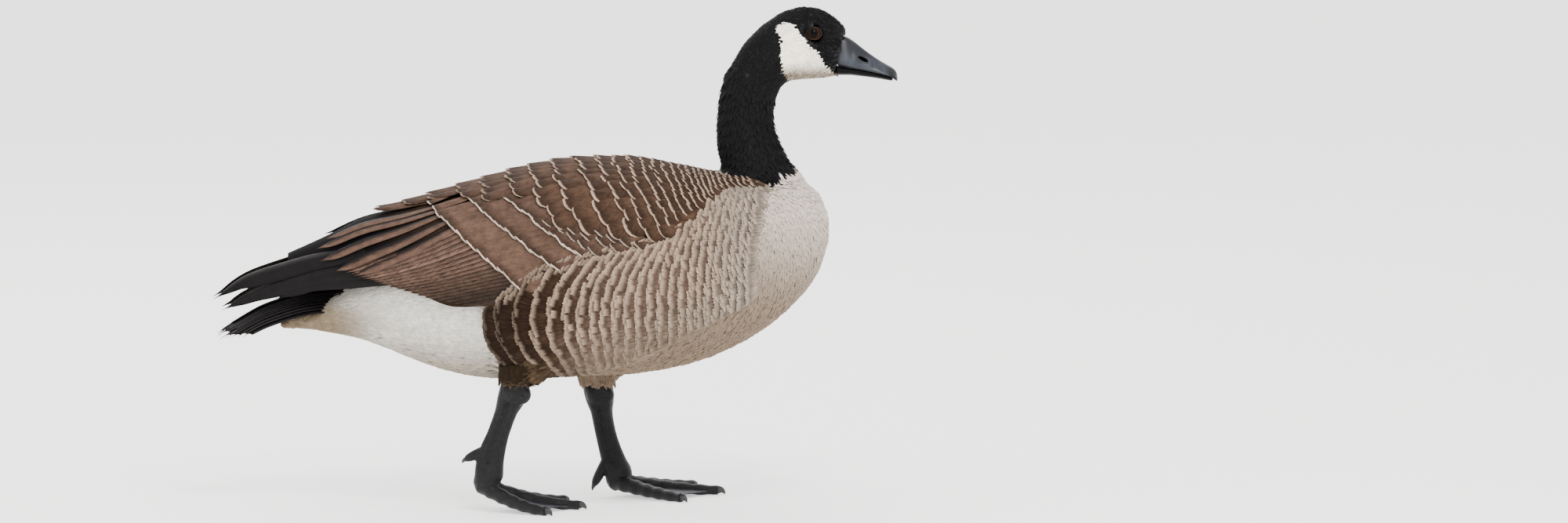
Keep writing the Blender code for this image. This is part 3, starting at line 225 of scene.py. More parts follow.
# Sections as shares: out to the side as parts of both half widths, and up from the mouth or down from it
UPPER_SECTION = (
    (0.0, 0.0, 0.04), (0.55, 0.0, 0.02), (0.86, 0.0, 0.0), (0.985, 0.0, 0.02), (1.0, 0.0, 0.09),
    (0.97, 0.0, 0.18), (0.9, 0.02, 0.3), (0.66, 0.26, 0.48), (0.38, 0.56, 0.66), (0.12, 0.86, 0.8),
    (0.0, 0.92, 0.9), (0.0, 0.66, 0.97), (0.0, 0.3, 1.0),
)
LOWER_SECTION = (
    (0.0, 0.0), (0.6, 0.0), (0.92, 0.02), (1.0, 0.18), (0.97, 0.45), (0.8, 0.76), (0.45, 0.96), (0.15, 1.0),
)
NOSTRIL = (0.3054, 0.4448)
NOSTRIL_SIZE = (0.007, 0.0028)
NOSTRIL_DIP = math.radians(28)

EYE = (0.2563, 0.0216, 0.472)
EYE_RADIUS = 0.0085
EYE_OPENING = (0.007, 0.0053)
EYE_FLATTENING = 0.86

# Legs: points on the leg's line with half width across and half depth
RIGHT_LEG = (
    (-0.038, -0.074, 0.134, 0.0125, 0.0138), (-0.0408, -0.0735, 0.124, 0.013, 0.0154),
    (-0.0442, -0.0725, 0.113, 0.0118, 0.0147), (-0.0498, -0.071, 0.099, 0.0088, 0.0118),
    (-0.0566, -0.07, 0.08, 0.0064, 0.0116), (-0.063, -0.069, 0.061, 0.0062, 0.0136),
    (-0.066, -0.0685, 0.046, 0.0086, 0.0146), (-0.0666, -0.0685, 0.036, 0.0112, 0.015),
)
LEFT_LEG = (
    (0.0405, 0.074, 0.119, 0.0125, 0.0145), (0.0422, 0.0735, 0.108, 0.013, 0.0158),
    (0.0438, 0.0725, 0.098, 0.0118, 0.015), (0.0456, 0.071, 0.085, 0.0088, 0.0116),
    (0.0486, 0.07, 0.068, 0.0064, 0.011), (0.0532, 0.069, 0.05, 0.0064, 0.0117),
    (0.0584, 0.0685, 0.034, 0.009, 0.0133), (0.0626, 0.0685, 0.024, 0.0112, 0.0142),
)
TOE_SPREAD = {
    "left": {"inner": (0.06, -0.056), "middle": (0.097, 0.014), "outer": (0.072, 0.066)},
    "right": {"inner": (0.075, -0.066), "middle": (0.09, -0.016), "outer": (0.057, 0.04)},
}
TOE_ROOT = np.array((-0.007, 0, -0.003))
TOE_ROOT_RADIUS, TOE_TIP_RADIUS = 0.0086, 0.0048
HALLUX_ROOT = {"left": (-0.0155, -0.002, 0.006), "right": (-0.006, -0.002, 0.024)}
HALLUX_REACH = {"left": (0.0095, 0.0185), "right": (0.0175, 0.0085)}
CLAW_STATIONS = ((-0.25, 0.95), (0.0, 1.0), (0.35, 0.85), (0.7, 0.52), (1.0, 0.14))
CLAW_CLEARANCE = 0.0002
HALLUX_STATIONS = ((-0.4, 0.005), (0, 0.0052), (0.5, 0.005), (0.8, 0.0042), (1, 0.0026))
PATCH = (0.003, 0.003)
"""Size of a small feather's patch on the bake map."""
COAT_READS = ("ground", "edge", "rim", "band")
SIDEWAYS = np.array([0.0, 1.0, 0.0])


def linear(code):
    """An sRGB hex colour as the linear values that shaders take."""
    parts = [int(code[i : i + 2], 16) / 255 for i in (1, 3, 5)]
    return tuple(p / 12.92 if p <= 0.04045 else ((p + 0.055) / 1.055) ** 2.4 for p in parts)


def colour(name, description, code):
    return FloatVectorProperty(
        name=name, description=description, subtype="COLOR", size=3, min=0, max=1, default=linear(code)
    )


def length(name, description, default):
    return FloatProperty(name=name, description=description, default=default, min=0, unit="LENGTH")


class GooseSizes(bpy.types.PropertyGroup):
    coat_depth: length("Coat depth", "How far the skin lies inside the solids of the flesh", 0.0042)
    skin_voxel: length("Skin voxel", "Finest form of the skin", 0.0026)
    face_spacing: length("Face feather spacing", "Distance between the feathers of the face", 0.00135)
    neck_spacing: length("Neck feather spacing", "Distance between the feathers of the neck", 0.0021)
    body_spacing: length("Body feather spacing", "Distance between the feathers of breast and belly", 0.0023)
    vent_spacing: length("Vent feather spacing", "Distance between the feathers of the rump and vent", 0.0032)
    flight_thickness: length("Flight feather thickness", "Thickness of wing and tail feathers", 0.0005)
    leg_voxel: length("Leg voxel", "Finest form of the legs and feet", 0.0009)


class GooseColours(bpy.types.PropertyGroup):
    black: colour("Black", "Head and neck", "#060607")
    # Lighter tips of the black feathers: a painted sheen
    black_edge: colour("Black edge", "Edges of the head and neck feathers", "#151517")
    cheek: colour("Cheek", "The white patch behind the eye and under the chin", "#fbf3e4")
    # Painted shade on the white patch's lower part towards the chin, warm brown
    cheek_shade: colour("Cheek shade", "The patch's dusty lower part", "#5c4d38")
    breast: colour("Breast", "Feathers just under the black", "#c2b6aa")
    breast_side: colour("Breast side", "Lower breast and sides", "#968779")
    # The underside's buff, darkened with painted shade
    belly: colour("Belly", "Underside between the legs and the breast", "#5f5143")
    mottle: colour("Mottle", "Brown tips here and there on the belly", "#4b3b2c")
    flank: colour("Flank", "Ground of the flank's rear feathers", "#23170f")
    flank_fore: colour("Flank fore", "Ground of the flank's front feathers", "#55443a")
    flank_edge: colour("Flank edge", "Pale tips of the flank's feathers", "#95806e")
    back: colour("Back", "Ground of the back and shoulder feathers", "#3d2c21")
    back_edge: colour("Back edge", "Pale tips of the back and shoulder feathers", "#937d6b")
    wing: colour("Wing", "Secondaries and tertials", "#4c392f")
    # The lower secondaries' dark, and painted shadow on the wing's covered halves and on the plate under the
    # coverts
    wing_dark: colour("Wing dark", "Inner side and lower part of the wing's feathers", "#1d140e")
    covert: colour("Covert", "Ground of the wing coverts", "#413128")
    covert_edge: colour("Covert edge", "Pale tips of the wing coverts", "#b5a393")
    flight: colour("Flight", "Primaries and tail", "#0e0c0c")
    flight_edge: colour("Flight edge", "Worn edges of primaries and tail", "#211c1a")
    white: colour("White", "Rump, vent and under the tail", "#c2beb5")
    # Painted shade on the underside of the white and under the tail, warm brown
    white_shade: colour("White shade", "Underside of the white", "#6b5e4c")
    thigh: colour("Thigh", "Feathers over the top of the near leg", "#1c140c")
    thigh_edge: colour("Thigh edge", "Pale tips of the thigh's feathers", "#3d3227")
    bill: colour("Bill", "Horn of the bill", "#131418")
    # A painted sheen, a paler bluish band along the bill's sides
    bill_light: colour("Bill light", "Sides of the bill, paler and bluish", "#2c2f37")
    bill_dark: colour("Bill dark", "Nail, edges and lower bill", "#070708")
    iris: colour("Iris", "Dark brown of the eye", "#1c0e08")
    lid: colour("Lid", "Bare rim of the eye", "#281a12")
    leg: colour("Leg", "Skin of legs and toes", "#080708")
    leg_worn: colour("Leg worn", "Rubbed edges of the scales", "#1b1a1c")
    web: colour("Web", "Skin between the toes", "#23242b")
    claw: colour("Claw", "Horn of the claws", "#0c0c0e")
    floor: colour("Floor", "Plain pale floor", "#f4f3f1")


class GooseStage(bpy.types.PropertyGroup):
    lens: FloatProperty(name="Lens", description="Focal length of the camera", default=400, unit="CAMERA")
    frame_width: length("Frame width", "How much the picture shows at the bird", 1.56)
    bird_left: length("Bird left", "How far left of the picture's middle the bird stands", 0.227)
    aim_height: length("Aim height", "Height at the picture's middle", 0.2422)
    elevation: FloatProperty(
        name="Elevation", description="How far above the horizon", default=math.radians(5.5), subtype="ANGLE"
    )
    floor_size: length("Floor size", "Width of the floor", 24.0)
    seed: IntProperty(name="Seed", description="Settles how feathers differ from each other", default=7)


# Reading stations and shapes


def bend(t, first, leaving, last, arriving):
    """Places at the shares t of a curve between two ends, with these slopes there."""
    return (
        (1 + 2 * t) * (1 - t) ** 2 * first
        + t * (1 - t) ** 2 * leaving
        + t * t * (3 - 2 * t) * last
        - t * t * (1 - t) * arriving
    )


def read(stations, places):
    """The stations' columns at these values of their first column, on a curve that never overshoots."""
    table = np.array(stations, float)
    if table[0, 0] > table[-1, 0]:
        table = table[::-1]
    at, values = table[:, 0], table[:, 1:]
    step = np.diff(at)[:, None]
    slope = np.diff(values, axis=0) / step
    both, total = slope[:-1] * slope[1:], slope[:-1] + slope[1:]
    middle = np.where(both > 0, 2 * both / np.where(total == 0, 1, total), 0)
    turn = np.vstack([slope[:1], middle, slope[-1:]])
    places = np.asarray(places, float)
    flat = places.ravel()
    i = np.clip(np.searchsorted(at, flat) - 1, 0, len(at) - 2)
    t = np.clip((flat - at[i]) / step[i, 0], 0, 1)[:, None]
    rows = bend(t, values[i], step[i] * turn[i], values[i + 1], step[i] * turn[i + 1])
    return np.moveaxis(rows.reshape(*places.shape, values.shape[1]), -1, 0)


def smooth(low, high, value):
    t = np.clip((value - low) / (high - low), 0, 1)
    return t * t * (3 - 2 * t)


def mixed(first, second, share):
    """Colours between two colours or rows of colours, by a share for each row."""
    first, second = np.atleast_2d(first), np.atleast_2d(second)
    return first + (second - first) * np.asarray(share)[:, None]


def shades(rng, spread, count):
    """How much lighter or darker each of count feathers is than the colour it is given."""
    return np.exp(rng.normal(0, spread, count))[:, None]


def unit(v):
    return v / np.maximum(np.linalg.norm(v, axis=-1, keepdims=True), 1e-12)


def dot(a, b):
    return (a * b).sum(-1, keepdims=True)


def outline(x, turn, side):
    """Points on the trunk with its folded wings, turn 0 under the belly and pi on the back."""
    top, bottom, half_width, widest = read(HULL, x)
    out, up = np.sin(turn), -np.cos(turn)
    power = np.where(up > 0, 2 / UPPER_FULLNESS, 2 / LOWER_FULLNESS)
    height = np.where(up > 0, top - widest, widest - bottom)
    y = half_width * np.sign(out) * np.abs(out) ** power
    z = widest + height * np.sign(up) * np.abs(up) ** power
    return np.stack([np.broadcast_to(x, np.shape(z)), side * y, z], -1)


def slopes(x, turn, side):
    """How the outline runs on with x and with turn, in metres for each of them."""
    along = outline(x + STEP, turn, side) - outline(x - STEP, turn, side)
    around = outline(x, turn + STEP, side) - outline(x, turn - STEP, side)
    return along / (2 * STEP), around / (2 * STEP)


def hull(x, turn, side, lift=0.0):
    """Points that stand off the outline by lift, and the outline's normals there."""
    normal = unit(np.cross(*slopes(x, turn, side))) * -np.asarray(side)[..., None]
    return outline(x, turn, side) + normal * np.asarray(lift)[..., None], normal


def turn_at(x, z):
    """How far round the outline the height z comes at x."""
    top, bottom, _, widest = read(HULL, x)
    up = z > widest
    share = (z - widest) / np.where(up, top - widest, widest - bottom)
    share = np.clip(share, -0.9999, 0.9999)
    power = np.where(up, UPPER_FULLNESS / 2, LOWER_FULLNESS / 2)
    return np.arccos(-np.sign(share) * np.abs(share) ** power)


def root_of(tip_x, tip_turn, side, size, angle):
    """Roots of feathers of these sizes, which rise forwards from their tips at these angles."""
    around = outline(tip_x, tip_turn + 0.01, side) - outline(tip_x, tip_turn - 0.01, side)
    for_each_turn = np.linalg.norm(around, axis=1) / 0.02
    return tip_x + size * np.cos(angle), tip_turn + size * np.sin(angle) / for_each_turn


def inside(x, z, corners):
    """Which points lie inside a closed outline."""
    found = np.zeros(x.shape, bool)
    for (x0, z0), (x1, z1) in zip(corners, corners[1:] + corners[:1]):
        if z0 != z1:
            found ^= ((z0 > z) != (z1 > z)) & (x < (x1 - x0) * (z - z0) / (z1 - z0) + x0)
    return found


def lie(places, normals):
    """Which way the coat points at each place, flat on the surface."""
    table = np.array(LIE)
    gap = ((places[:, None, ::2] - table[None, :, :2]) ** 2).sum(2)
    weight = 1 / (gap + 1e-5) ** 2
    way = (weight[:, :, None] * table[None, :, 2:]).sum(1) / weight.sum(1)[:, None]
    way = np.stack([way[:, 0], np.zeros(len(way)), way[:, 1]], -1)
    return unit(way - normals * dot(way, normals))


# Shapes of single feathers. Each is a fan of points with its place along and across the feather.


def grid_faces(rows, columns, closed=False, ring=False):
    """Quads between rows of points. Closed joins the ends of a row, and ring the last row to the first."""
    return [
        tuple(i % rows * columns + j % columns for i, j in ((a, b), (a, b + 1), (a + 1, b + 1), (a + 1, b)))
        for a in range(rows - (not ring))
        for b in range(columns - (not closed))
    ]


def leaf():
    """A small body feather of ten points."""
    along = np.array([0, 0, 0, 0.5, 0.55, 0.5, 0.84, 0.88, 0.84, 1.0])
    across = np.array([-0.55, 0, 0.55, -1, 0, 1, -0.66, 0, 0.66, 0])
    crown = np.array([0, 0.22, 0, 0, 0.3, 0, 0, 0.2, 0, 0])
    faces = grid_faces(3, 3) + [(6, 7, 9), (7, 8, 9)]
    return dict(along=along, across=across, crown=crown, rim=1 - along, faces=faces)


def barbed(teeth, jag, squareness=0.7, shoulder=0.6, fringe=0.05, corner=0.0):
    """A broad feather with a blunt tip, whose barbs end unevenly.

    Fringe is the depth of its last row, and corner takes the pale tip away towards the sides."""
    rng = np.random.default_rng(teeth)
    out = np.linspace(-1, 1, 2 * teeth + 1)
    angle = np.abs(out) * math.pi / 2
    edge_c = np.sign(out) * np.sin(angle) ** squareness
    edge_a = shoulder + (1 - shoulder) * np.clip(np.cos(angle), 0, 1) ** squareness
    tooth = jag * (0.4 * rng.random(len(out)) + 0.6 * (np.arange(len(out)) % 2) * rng.random(len(out)))
    inner = [(edge_a - back, edge_c) for back in (0.45, fringe * 3, fringe)]
    rows = [(edge_a * 0, edge_c * 0.5), *inner, (edge_a - tooth, edge_c)]
    along = np.concatenate([np.maximum(a, 0.0) for a, _ in rows])
    across = np.concatenate([c for _, c in rows])
    rim = np.tile(edge_a, len(rows)) - along + corner * smooth(0.55, 1.0, np.tile(np.abs(out), len(rows)))
    crown = 0.24 * (1 - across**2) + np.where(rim < 1.5 * fringe, rng.uniform(-0.03, 0.03, len(rim)), 0)
    return dict(along=along, across=across, crown=crown, rim=rim, faces=grid_faces(len(rows), len(out)))


def blade(rows, columns, widths, splits=0.0):
    """A long flight feather as a grid, its width along it read from stations."""
    rng = np.random.default_rng(rows)
    a, c = np.meshgrid(np.linspace(0, 1, rows), np.linspace(-1, 1, columns), indexing="ij")
    across = c * read(widths, a)[0]
    along = a - 0.035 * np.abs(c) * (a > 0.5)
    along[-1] -= rng.uniform(0, splits, columns) * (np.abs(c[-1]) > 0)
    crown = 0.16 * (1 - np.abs(c) ** 1.5) + np.where(np.abs(c) < 0.02, 0.05, 0)
    # The edge colour runs along one side: worn edges on primaries and tail, painted shadow on the secondaries
    # and tertials
    parts = dict(along=along, across=across, crown=crown, rim=(1 - c) * 0.5)
    return {key: part.ravel() for key, part in parts.items()} | {"faces": grid_faces(rows, columns)}


def on_skin(shape, root, tip, root_up, tip_up, half, lift, sink):
    """Every point of feathers that run from root to tip over the skin."""
    a, c, crown = (shape[key][None, :, None] for key in ("along", "across", "crown"))
    reach = tip - root
    size = np.linalg.norm(reach, axis=1, keepdims=True)
    start, end = (unit(reach - up * dot(reach, up)) * size for up in (root_up, tip_up))
    root, tip, start, end, root_up, tip_up = (v[:, None] for v in (root, tip, start, end, root_up, tip_up))
    ahead = unit((1 - a) * start + a * end)
    up = unit(root_up * (1 - a) + tip_up * a)
    beside = unit(np.cross(up, ahead))
    half, lift = (np.full(len(root), v, float)[:, None, None] for v in (half, lift))
    height = -sink + (lift + sink) * a + (crown - 0.22 * c * c) * half
    return bend(a, root, start, tip, end) + beside * c * half + up * height


def line_skew(root, tip, half, side):
    """How far the tips of a row lean, so that their edges run on from feather to feather."""
    end = outline(*tip.T, side)
    reach = end - outline(*root.T, side)
    ahead = unit(reach)
    beside = unit(np.cross(hull(*tip.T, side)[1], ahead)) * side
    row = np.gradient(end, axis=0)
    lean = (dot(row, ahead) / dot(row, beside))[:, 0]
    return np.clip(lean, -1.1, 1.1) * half / np.linalg.norm(reach, axis=1)


def on_hull(shape, root, tip, half, side, lift, sink, tilt, bow=0.0, skew=0.0):
    """Every point of feathers whose roots and tips are given as x and turn on the outline."""
    c, crown = shape["across"][None], shape["crown"][None]
    half, side, lift, tilt, bow, skew = (
        np.full(len(root), v, float)[:, None] for v in (half, side, lift, tilt, bow, skew)
    )
    a = shape["along"][None] * (1 + skew * c)
    step_x, step_turn = (tip - root).T[:, :, None]
    x = root[:, :1] + step_x * a
    turn = root[:, 1:] + step_turn * a + bow * np.sin(math.pi * a)
    ahead_turn = step_turn + bow * math.pi * np.cos(math.pi * a)
    up = hull(x, turn, side)[1]
    along, around = slopes(x, turn, side)
    ahead = along * step_x[..., None] + around * ahead_turn[..., None]
    beside = unit(np.cross(up, ahead)) * side[..., None]
    # The step sideways, split into its parts along and round the outline
    xx, xt, tt = dot(along, along), dot(along, around), dot(around, around)
    bx, bt = dot(beside, along), dot(beside, around)
    under = xx * tt - xt * xt
    move_x = ((bx * tt - bt * xt) / under)[..., 0]
    move_turn = ((bt * xx - bx * xt) / under)[..., 0]
    out = c * half
    height = -sink + (lift + sink) * a + (crown - 0.12 * c * c) * half * 0.8 + tilt * out
    return hull(x + out * move_x, turn + out * move_turn, side, height)[0]


# Meshes and materials


def add_piece(name, places, faces, *materials):
    mesh = bpy.data.meshes.new(name)
    mesh.from_pydata(places.tolist(), [], faces)
    mesh.update()
    obj = bpy.data.objects.new(name, mesh)
    bpy.context.scene.collection.objects.link(obj)
    for paint in materials:
        mesh.materials.append(paint)
    mesh.shade_smooth()
    return obj


def rows_of(items, key, width, kind=float):
    """A property of every vertex, loop or the like, as rows of numbers."""
    rows = np.empty(len(items) * width, kind)
    items.foreach_get(key, rows)
    return rows.reshape(-1, width)


def add_uv(obj, name, rows):
    """A UV map from one row for each vertex."""
    at = rows_of(obj.data.loops, "vertex_index", 1, np.int32)[:, 0]
    obj.data.uv_layers.new(name=name).uv.foreach_set("vector", rows[at].astype(np.float32).ravel())


def add_attribute(obj, name, rows):
    """A linear colour or a number for each vertex."""
    if rows.ndim == 2:
        layer = obj.data.color_attributes.new(name, "FLOAT_COLOR", "POINT")
        full = np.column_stack([rows, np.ones(len(rows))])
        layer.data.foreach_set("color", full.astype(np.float32).ravel())
    else:
        layer = obj.data.attributes.new(name, "FLOAT", "POINT")
        layer.data.foreach_set("value", rows.astype(np.float32))


def repeated(faces, points, count, first):
    """A shape's faces for each of count copies of its points, which are numbered from first."""
    made = []
    for size in (3, 4):
        part = np.array([f for f in faces if len(f) == size], int).reshape(-1, size)
        if len(part):
            every = part[None] + np.arange(count)[:, None, None] * points + first
            made += every.reshape(-1, size).tolist()
    return made


def coat_piece(name, kind, slot, parts, replaced=(), thickness=0.0):
    """Joins feathers of several shapes into one piece.

    Each part holds a shape, its points, colours of ground and edge, the edge's share and bake patches."""
    faces, columns, first = [], [], 0
    for shape, points, ground, edge, band, (centre, spread) in parts:
        count, size = points.shape[:2]
        faces += repeated(shape["faces"], size, count, first)
        first += count * size
        local = np.column_stack([0.5 + 0.5 * shape["across"], shape["along"]])
        ground, edge = (np.repeat(np.broadcast_to(rows, (count, 3)), size, 0) for rows in (ground, edge))
        columns.append(
            (
                points.reshape(-1, 3),
                (centre[:, None] + (local - 0.5) * np.array(spread)).reshape(-1, 2),
                np.tile(local, (count, 1)),
                ground,
                edge,
                np.tile(shape["rim"], count),
                np.repeat(np.broadcast_to(band, count), size),
            )
        )
    places, bake, vane, ground, edge, rim, band = (np.concatenate(column) for column in zip(*columns))
    obj = add_piece(name, places, faces, feathers(kind))
    add_uv(obj, "OFBake", np.clip(bake, 0.0005, 0.9995))
    add_uv(obj, "Vane", vane)
    for key, rows in zip(COAT_READS, (ground, edge, rim, band)):
        add_attribute(obj, key, rows)
    if thickness:
        modify(obj, ("SOLIDIFY", dict(thickness=thickness, offset=-1)))
    finish(obj, slot, *replaced)


def finish(obj, slot, *replaced):
    """Hands a piece over: it rides on the bird and stands for its nodes; its slot is not used."""
    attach(obj, "root")
    if replaced:
        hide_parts(*replaced)


def select(*pieces):
    """Leaves only these selected, with the first of them active."""
    bpy.ops.object.select_all(action="DESELECT")
    for piece in pieces:
        piece.select_set(True)
    bpy.context.view_layer.objects.active = pieces[0]


def joined(name, pieces):
    select(*pieces)
    bpy.ops.object.join()
    pieces[0].name = pieces[0].data.name = name
    return pieces[0]


def modify(obj, *steps):
    """Applies modifiers one after the other, each given as its kind and its settings."""
    select(obj)
    for kind, settings in steps:
        modifier = obj.modifiers.new(kind, kind)
        for key, value in settings.items():
            setattr(modifier, key, value)
        bpy.ops.object.modifier_apply(modifier=modifier.name)


def edit_all(obj, step, **settings):
    """Runs one of Blender's mesh tools on the whole of an object."""
    select(obj)
    bpy.ops.object.mode_set(mode="EDIT")
    bpy.ops.mesh.select_all(action="SELECT")
    step(**settings)
    bpy.ops.object.mode_set(mode="OBJECT")


def add_node(paint, kind, inputs=None, **settings):
    """A node with its settings, values and links. A node that is linked gives its first output in use."""
    node = paint.node_tree.nodes.new("ShaderNode" + kind)
    for key, value in settings.items():
        setattr(node, key, value)
    for key, value in (inputs or {}).items():
        if isinstance(value, bpy.types.Node):
            value = next(socket for socket in value.outputs if socket.enabled)
        if isinstance(value, bpy.types.NodeSocket):
            paint.node_tree.links.new(value, node.inputs[key])
        else:
            node.inputs[key].default_value = (*value, 1) if isinstance(value, np.ndarray) else value
    return node


def new_material(name):
    """An empty material and what adds its nodes."""
    paint = bpy.data.materials.new(name)
    paint.use_nodes = True
    paint.node_tree.nodes.clear()
    return paint, partial(add_node, paint)


EASED = {"interpolation_type": "SMOOTHSTEP"}
IN_COLOUR = {"data_type": "RGBA"}


def span(value, low, high, first=0.0, last=1.0):
    """A Map Range node's inputs: what it reads from low to high it gives from first to last."""
    return {"Value": value, "From Min": low, "From Max": high, "To Min": first, "To Max": last}


def blend(share, first, second):
    """A Mix node's inputs for two colours, whose sockets it numbers 6 and 7."""
    return {"Factor": share, 6: first, 7: second}


def feather_material(
    name, roughness, strands, barbs, slant, streak, cloud, relief, gloss, shade, reach, soft
):
    """Keratin barbs lying side by side, which break the light into fine lines on each feather.

    Streak and cloud are how much the barbs and larger patches vary, shade darkens the ground before the pale
    tip, partly the feather's own darker band and partly painted shadow, reach is how many tips deep that
    goes, and soft is how slowly the tip ends."""
    paint, node = new_material(name)
    ground, edge, rim, band = (node("Attribute", attribute_name=key) for key in COAT_READS)
    vane = node("SeparateXYZ", {"Vector": node("UVMap", uv_map="Vane")}).outputs
    space = node("TexCoord").outputs["Object"]
    out = node("Math", {0: vane["X"], 1: 0.5}, operation="SUBTRACT")
    out = node("Math", {0: out}, operation="ABSOLUTE")
    lean = node("Math", {0: out, 1: -slant, 2: vane["Y"]}, operation="MULTIPLY_ADD")
    place = node("CombineXYZ", {"X": vane["X"], "Y": lean})
    place = node("VectorMath", {0: place, 1: (strands, barbs, 0)}, operation="MULTIPLY")
    place = node("VectorMath", {0: space, 1: (70, 70, 70), 2: place}, operation="MULTIPLY_ADD")
    hair = node("TexNoise", {"Vector": place, "Scale": 1.0, "Detail": 2.5, "Roughness": 0.65})
    # Lighter and darker patches about 8 mm across
    patch = node("TexNoise", {"Vector": space, "Scale": 120.0, "Detail": 2.0})
    patch = node("Math", {0: patch, 1: 0.5}, operation="SUBTRACT")
    loose = node("Math", {0: hair, 1: 0.5}, operation="SUBTRACT")
    # Where the pale tip begins, uneven from barb to barb
    depth = node("Math", {0: rim.outputs["Fac"], 1: band.outputs["Fac"]}, operation="DIVIDE")
    depth = node("Math", {0: loose, 1: 1.6, 2: depth}, operation="MULTIPLY_ADD")
    pale = node("MapRange", span(depth, 1 - soft, 1 + soft, 1.0, 0.0), **EASED)
    # The ground darkens just inside the pale tip and lightens further in: partly the feather's own darker
    # band, partly painted shadow
    deep = node("MapRange", span(depth, 1.0, reach, shade, 1.15), **EASED)
    inner = node("VectorMath", {0: ground, "Scale": deep}, operation="SCALE")
    painted = node("Mix", blend(pale, inner, edge), **IN_COLOUR)
    light = node("Math", {0: loose, 1: 2 * streak, 2: 1.0}, operation="MULTIPLY_ADD")
    light = node("Math", {0: patch, 1: 2 * cloud, 2: light}, operation="MULTIPLY_ADD")
    toned = node("VectorMath", {0: painted, "Scale": light}, operation="SCALE")
    bump = node("Bump", {"Height": hair, "Strength": 0.8, "Distance": relief})
    look = {"Base Color": toned, "Roughness": roughness, "Normal": bump, "Specular IOR Level": gloss}
    node("OutputMaterial", {"Surface": node("BsdfPrincipled", look)})
    return paint


@lru_cache
def feathers(kind):
    """The feather materials, each made once."""
    kinds = {
        # Soft body feathers whose loose barbs end like hair: quite matt
        "contour": ("soft contour feather", 0.85, 7.0, 1.5, 0.0, 0.30, 0.20, 0.0002, 0.06, 0.9, 3.0, 0.6),
        # The flank's broader feathers, with hair-like tips and a dark band before the pale one, partly their
        # own and partly painted shadow
        "flank": ("hairy flank feather", 0.85, 17.0, 1.8, 0.0, 1.25, 0.35, 0.0006, 0.06, 0.50, 3.0, 0.80),
        # Short dense feathers of head and neck, whose black takes a faint gloss and a painted sheen at the
        # tips
        "velvet": ("short dense neck feather", 0.60, 6.0, 2.0, 0.0, 0.35, 0.25, 0.0002, 0.07, 1.0, 3.0, 0.5),
        # Stiff flight feathers with closed vanes: smoother, with fine slanting barb lines
        "flight": ("stiff flight feather", 0.60, 9.0, 45.0, 0.9, 0.80, 0.45, 0.0004, 0.10, 0.7, 1.6, 0.35),
        # Broad wing and back feathers with closed vanes and worn pale tips
        "broad": ("broad covert feather", 0.78, 6.0, 20.0, 0.7, 0.75, 0.55, 0.0004, 0.07, 0.5, 9.0, 0.35),
    }
    return feather_material(*kinds[kind])


# The skin and what is read from it


class Skin:
    """The bird's skin with the means to find the nearest place on it."""

    made = None

    def __init__(self, mesh):
        self.points = rows_of(mesh.vertices, "co", 3)
        self.normals = rows_of(mesh.vertices, "normal", 3)
        self.corners = rows_of(mesh.loops, "vertex_index", 1, np.int32).reshape(-1, 3)
        self.uv = rows_of(mesh.uv_layers["OFBake"].uv, "vector", 2, np.float32).reshape(-1, 3, 2)
        self.tree = BVHTree.FromPolygons(self.points.tolist(), self.corners.tolist(), all_triangles=True)
        a, b, c = (self.points[self.corners[:, i]] for i in range(3))
        self.areas = np.linalg.norm(np.cross(b - a, c - a), axis=1) / 2

    def at(self, faces, weights):
        """Places, normals and bake places at these shares of these faces."""
        ring, weights = self.corners[faces], weights[:, :, None]
        place = (self.points[ring] * weights).sum(1)
        normal = unit((self.normals[ring] * weights).sum(1))
        return place, normal, (self.uv[faces] * weights).sum(1)

    def nearest(self, places):
        """The nearest place on the skin to each place, as at() gives it."""
        found = [self.tree.find_nearest(p) for p in places.tolist()]
        faces = np.array([f[2] for f in found])
        where = np.array([f[0] for f in found])
        a, b, c = (self.points[self.corners[faces, i]] for i in range(3))
        whole = np.cross(b - a, c - a)
        size = np.maximum(dot(whole, whole), 1e-20)
        u = dot(np.cross(b - where, c - where), whole) / size
        v = dot(np.cross(c - where, a - where), whole) / size
        weights = np.clip(np.hstack([u, v, 1 - u - v]), 0, 1)
        return self.at(faces, weights / weights.sum(1, keepdims=True))

    def scatter(self, wanted, spacing, rng):
        """Places spread evenly over the part of the skin that wanted picks."""
        areas = self.areas * wanted(self.points[self.corners].mean(1))
        count = int(areas.sum() / spacing**2 * 3.2)
        faces = np.sort(rng.choice(len(areas), count, p=areas / areas.sum()))
        rng.shuffle(faces)
        first, second = np.sqrt(rng.random(count)), rng.random(count)
        weights = np.stack([1 - first, first * (1 - second), first * second], 1)
        places = self.at(faces, weights)[0]
        cells, kept, near = {}, [], list(product((-1, 0, 1), repeat=3))
        keys = np.floor(places / spacing).astype(int).tolist()
        for n, ((i, j, k), place) in enumerate(zip(keys, places.tolist())):
            others = (other for a, b, c in near for other in cells.get((i + a, j + b, k + c), ()))
            if all(math.dist(place, other) >= spacing for other in others):
                cells.setdefault((i, j, k), []).append(place)
                kept.append(n)
        return self.at(faces[kept], weights[kept])


def patch_at(places):
    """Where small feathers with roots here have their patches on the bake map."""
    return Skin.made.nearest(places)[2], PATCH


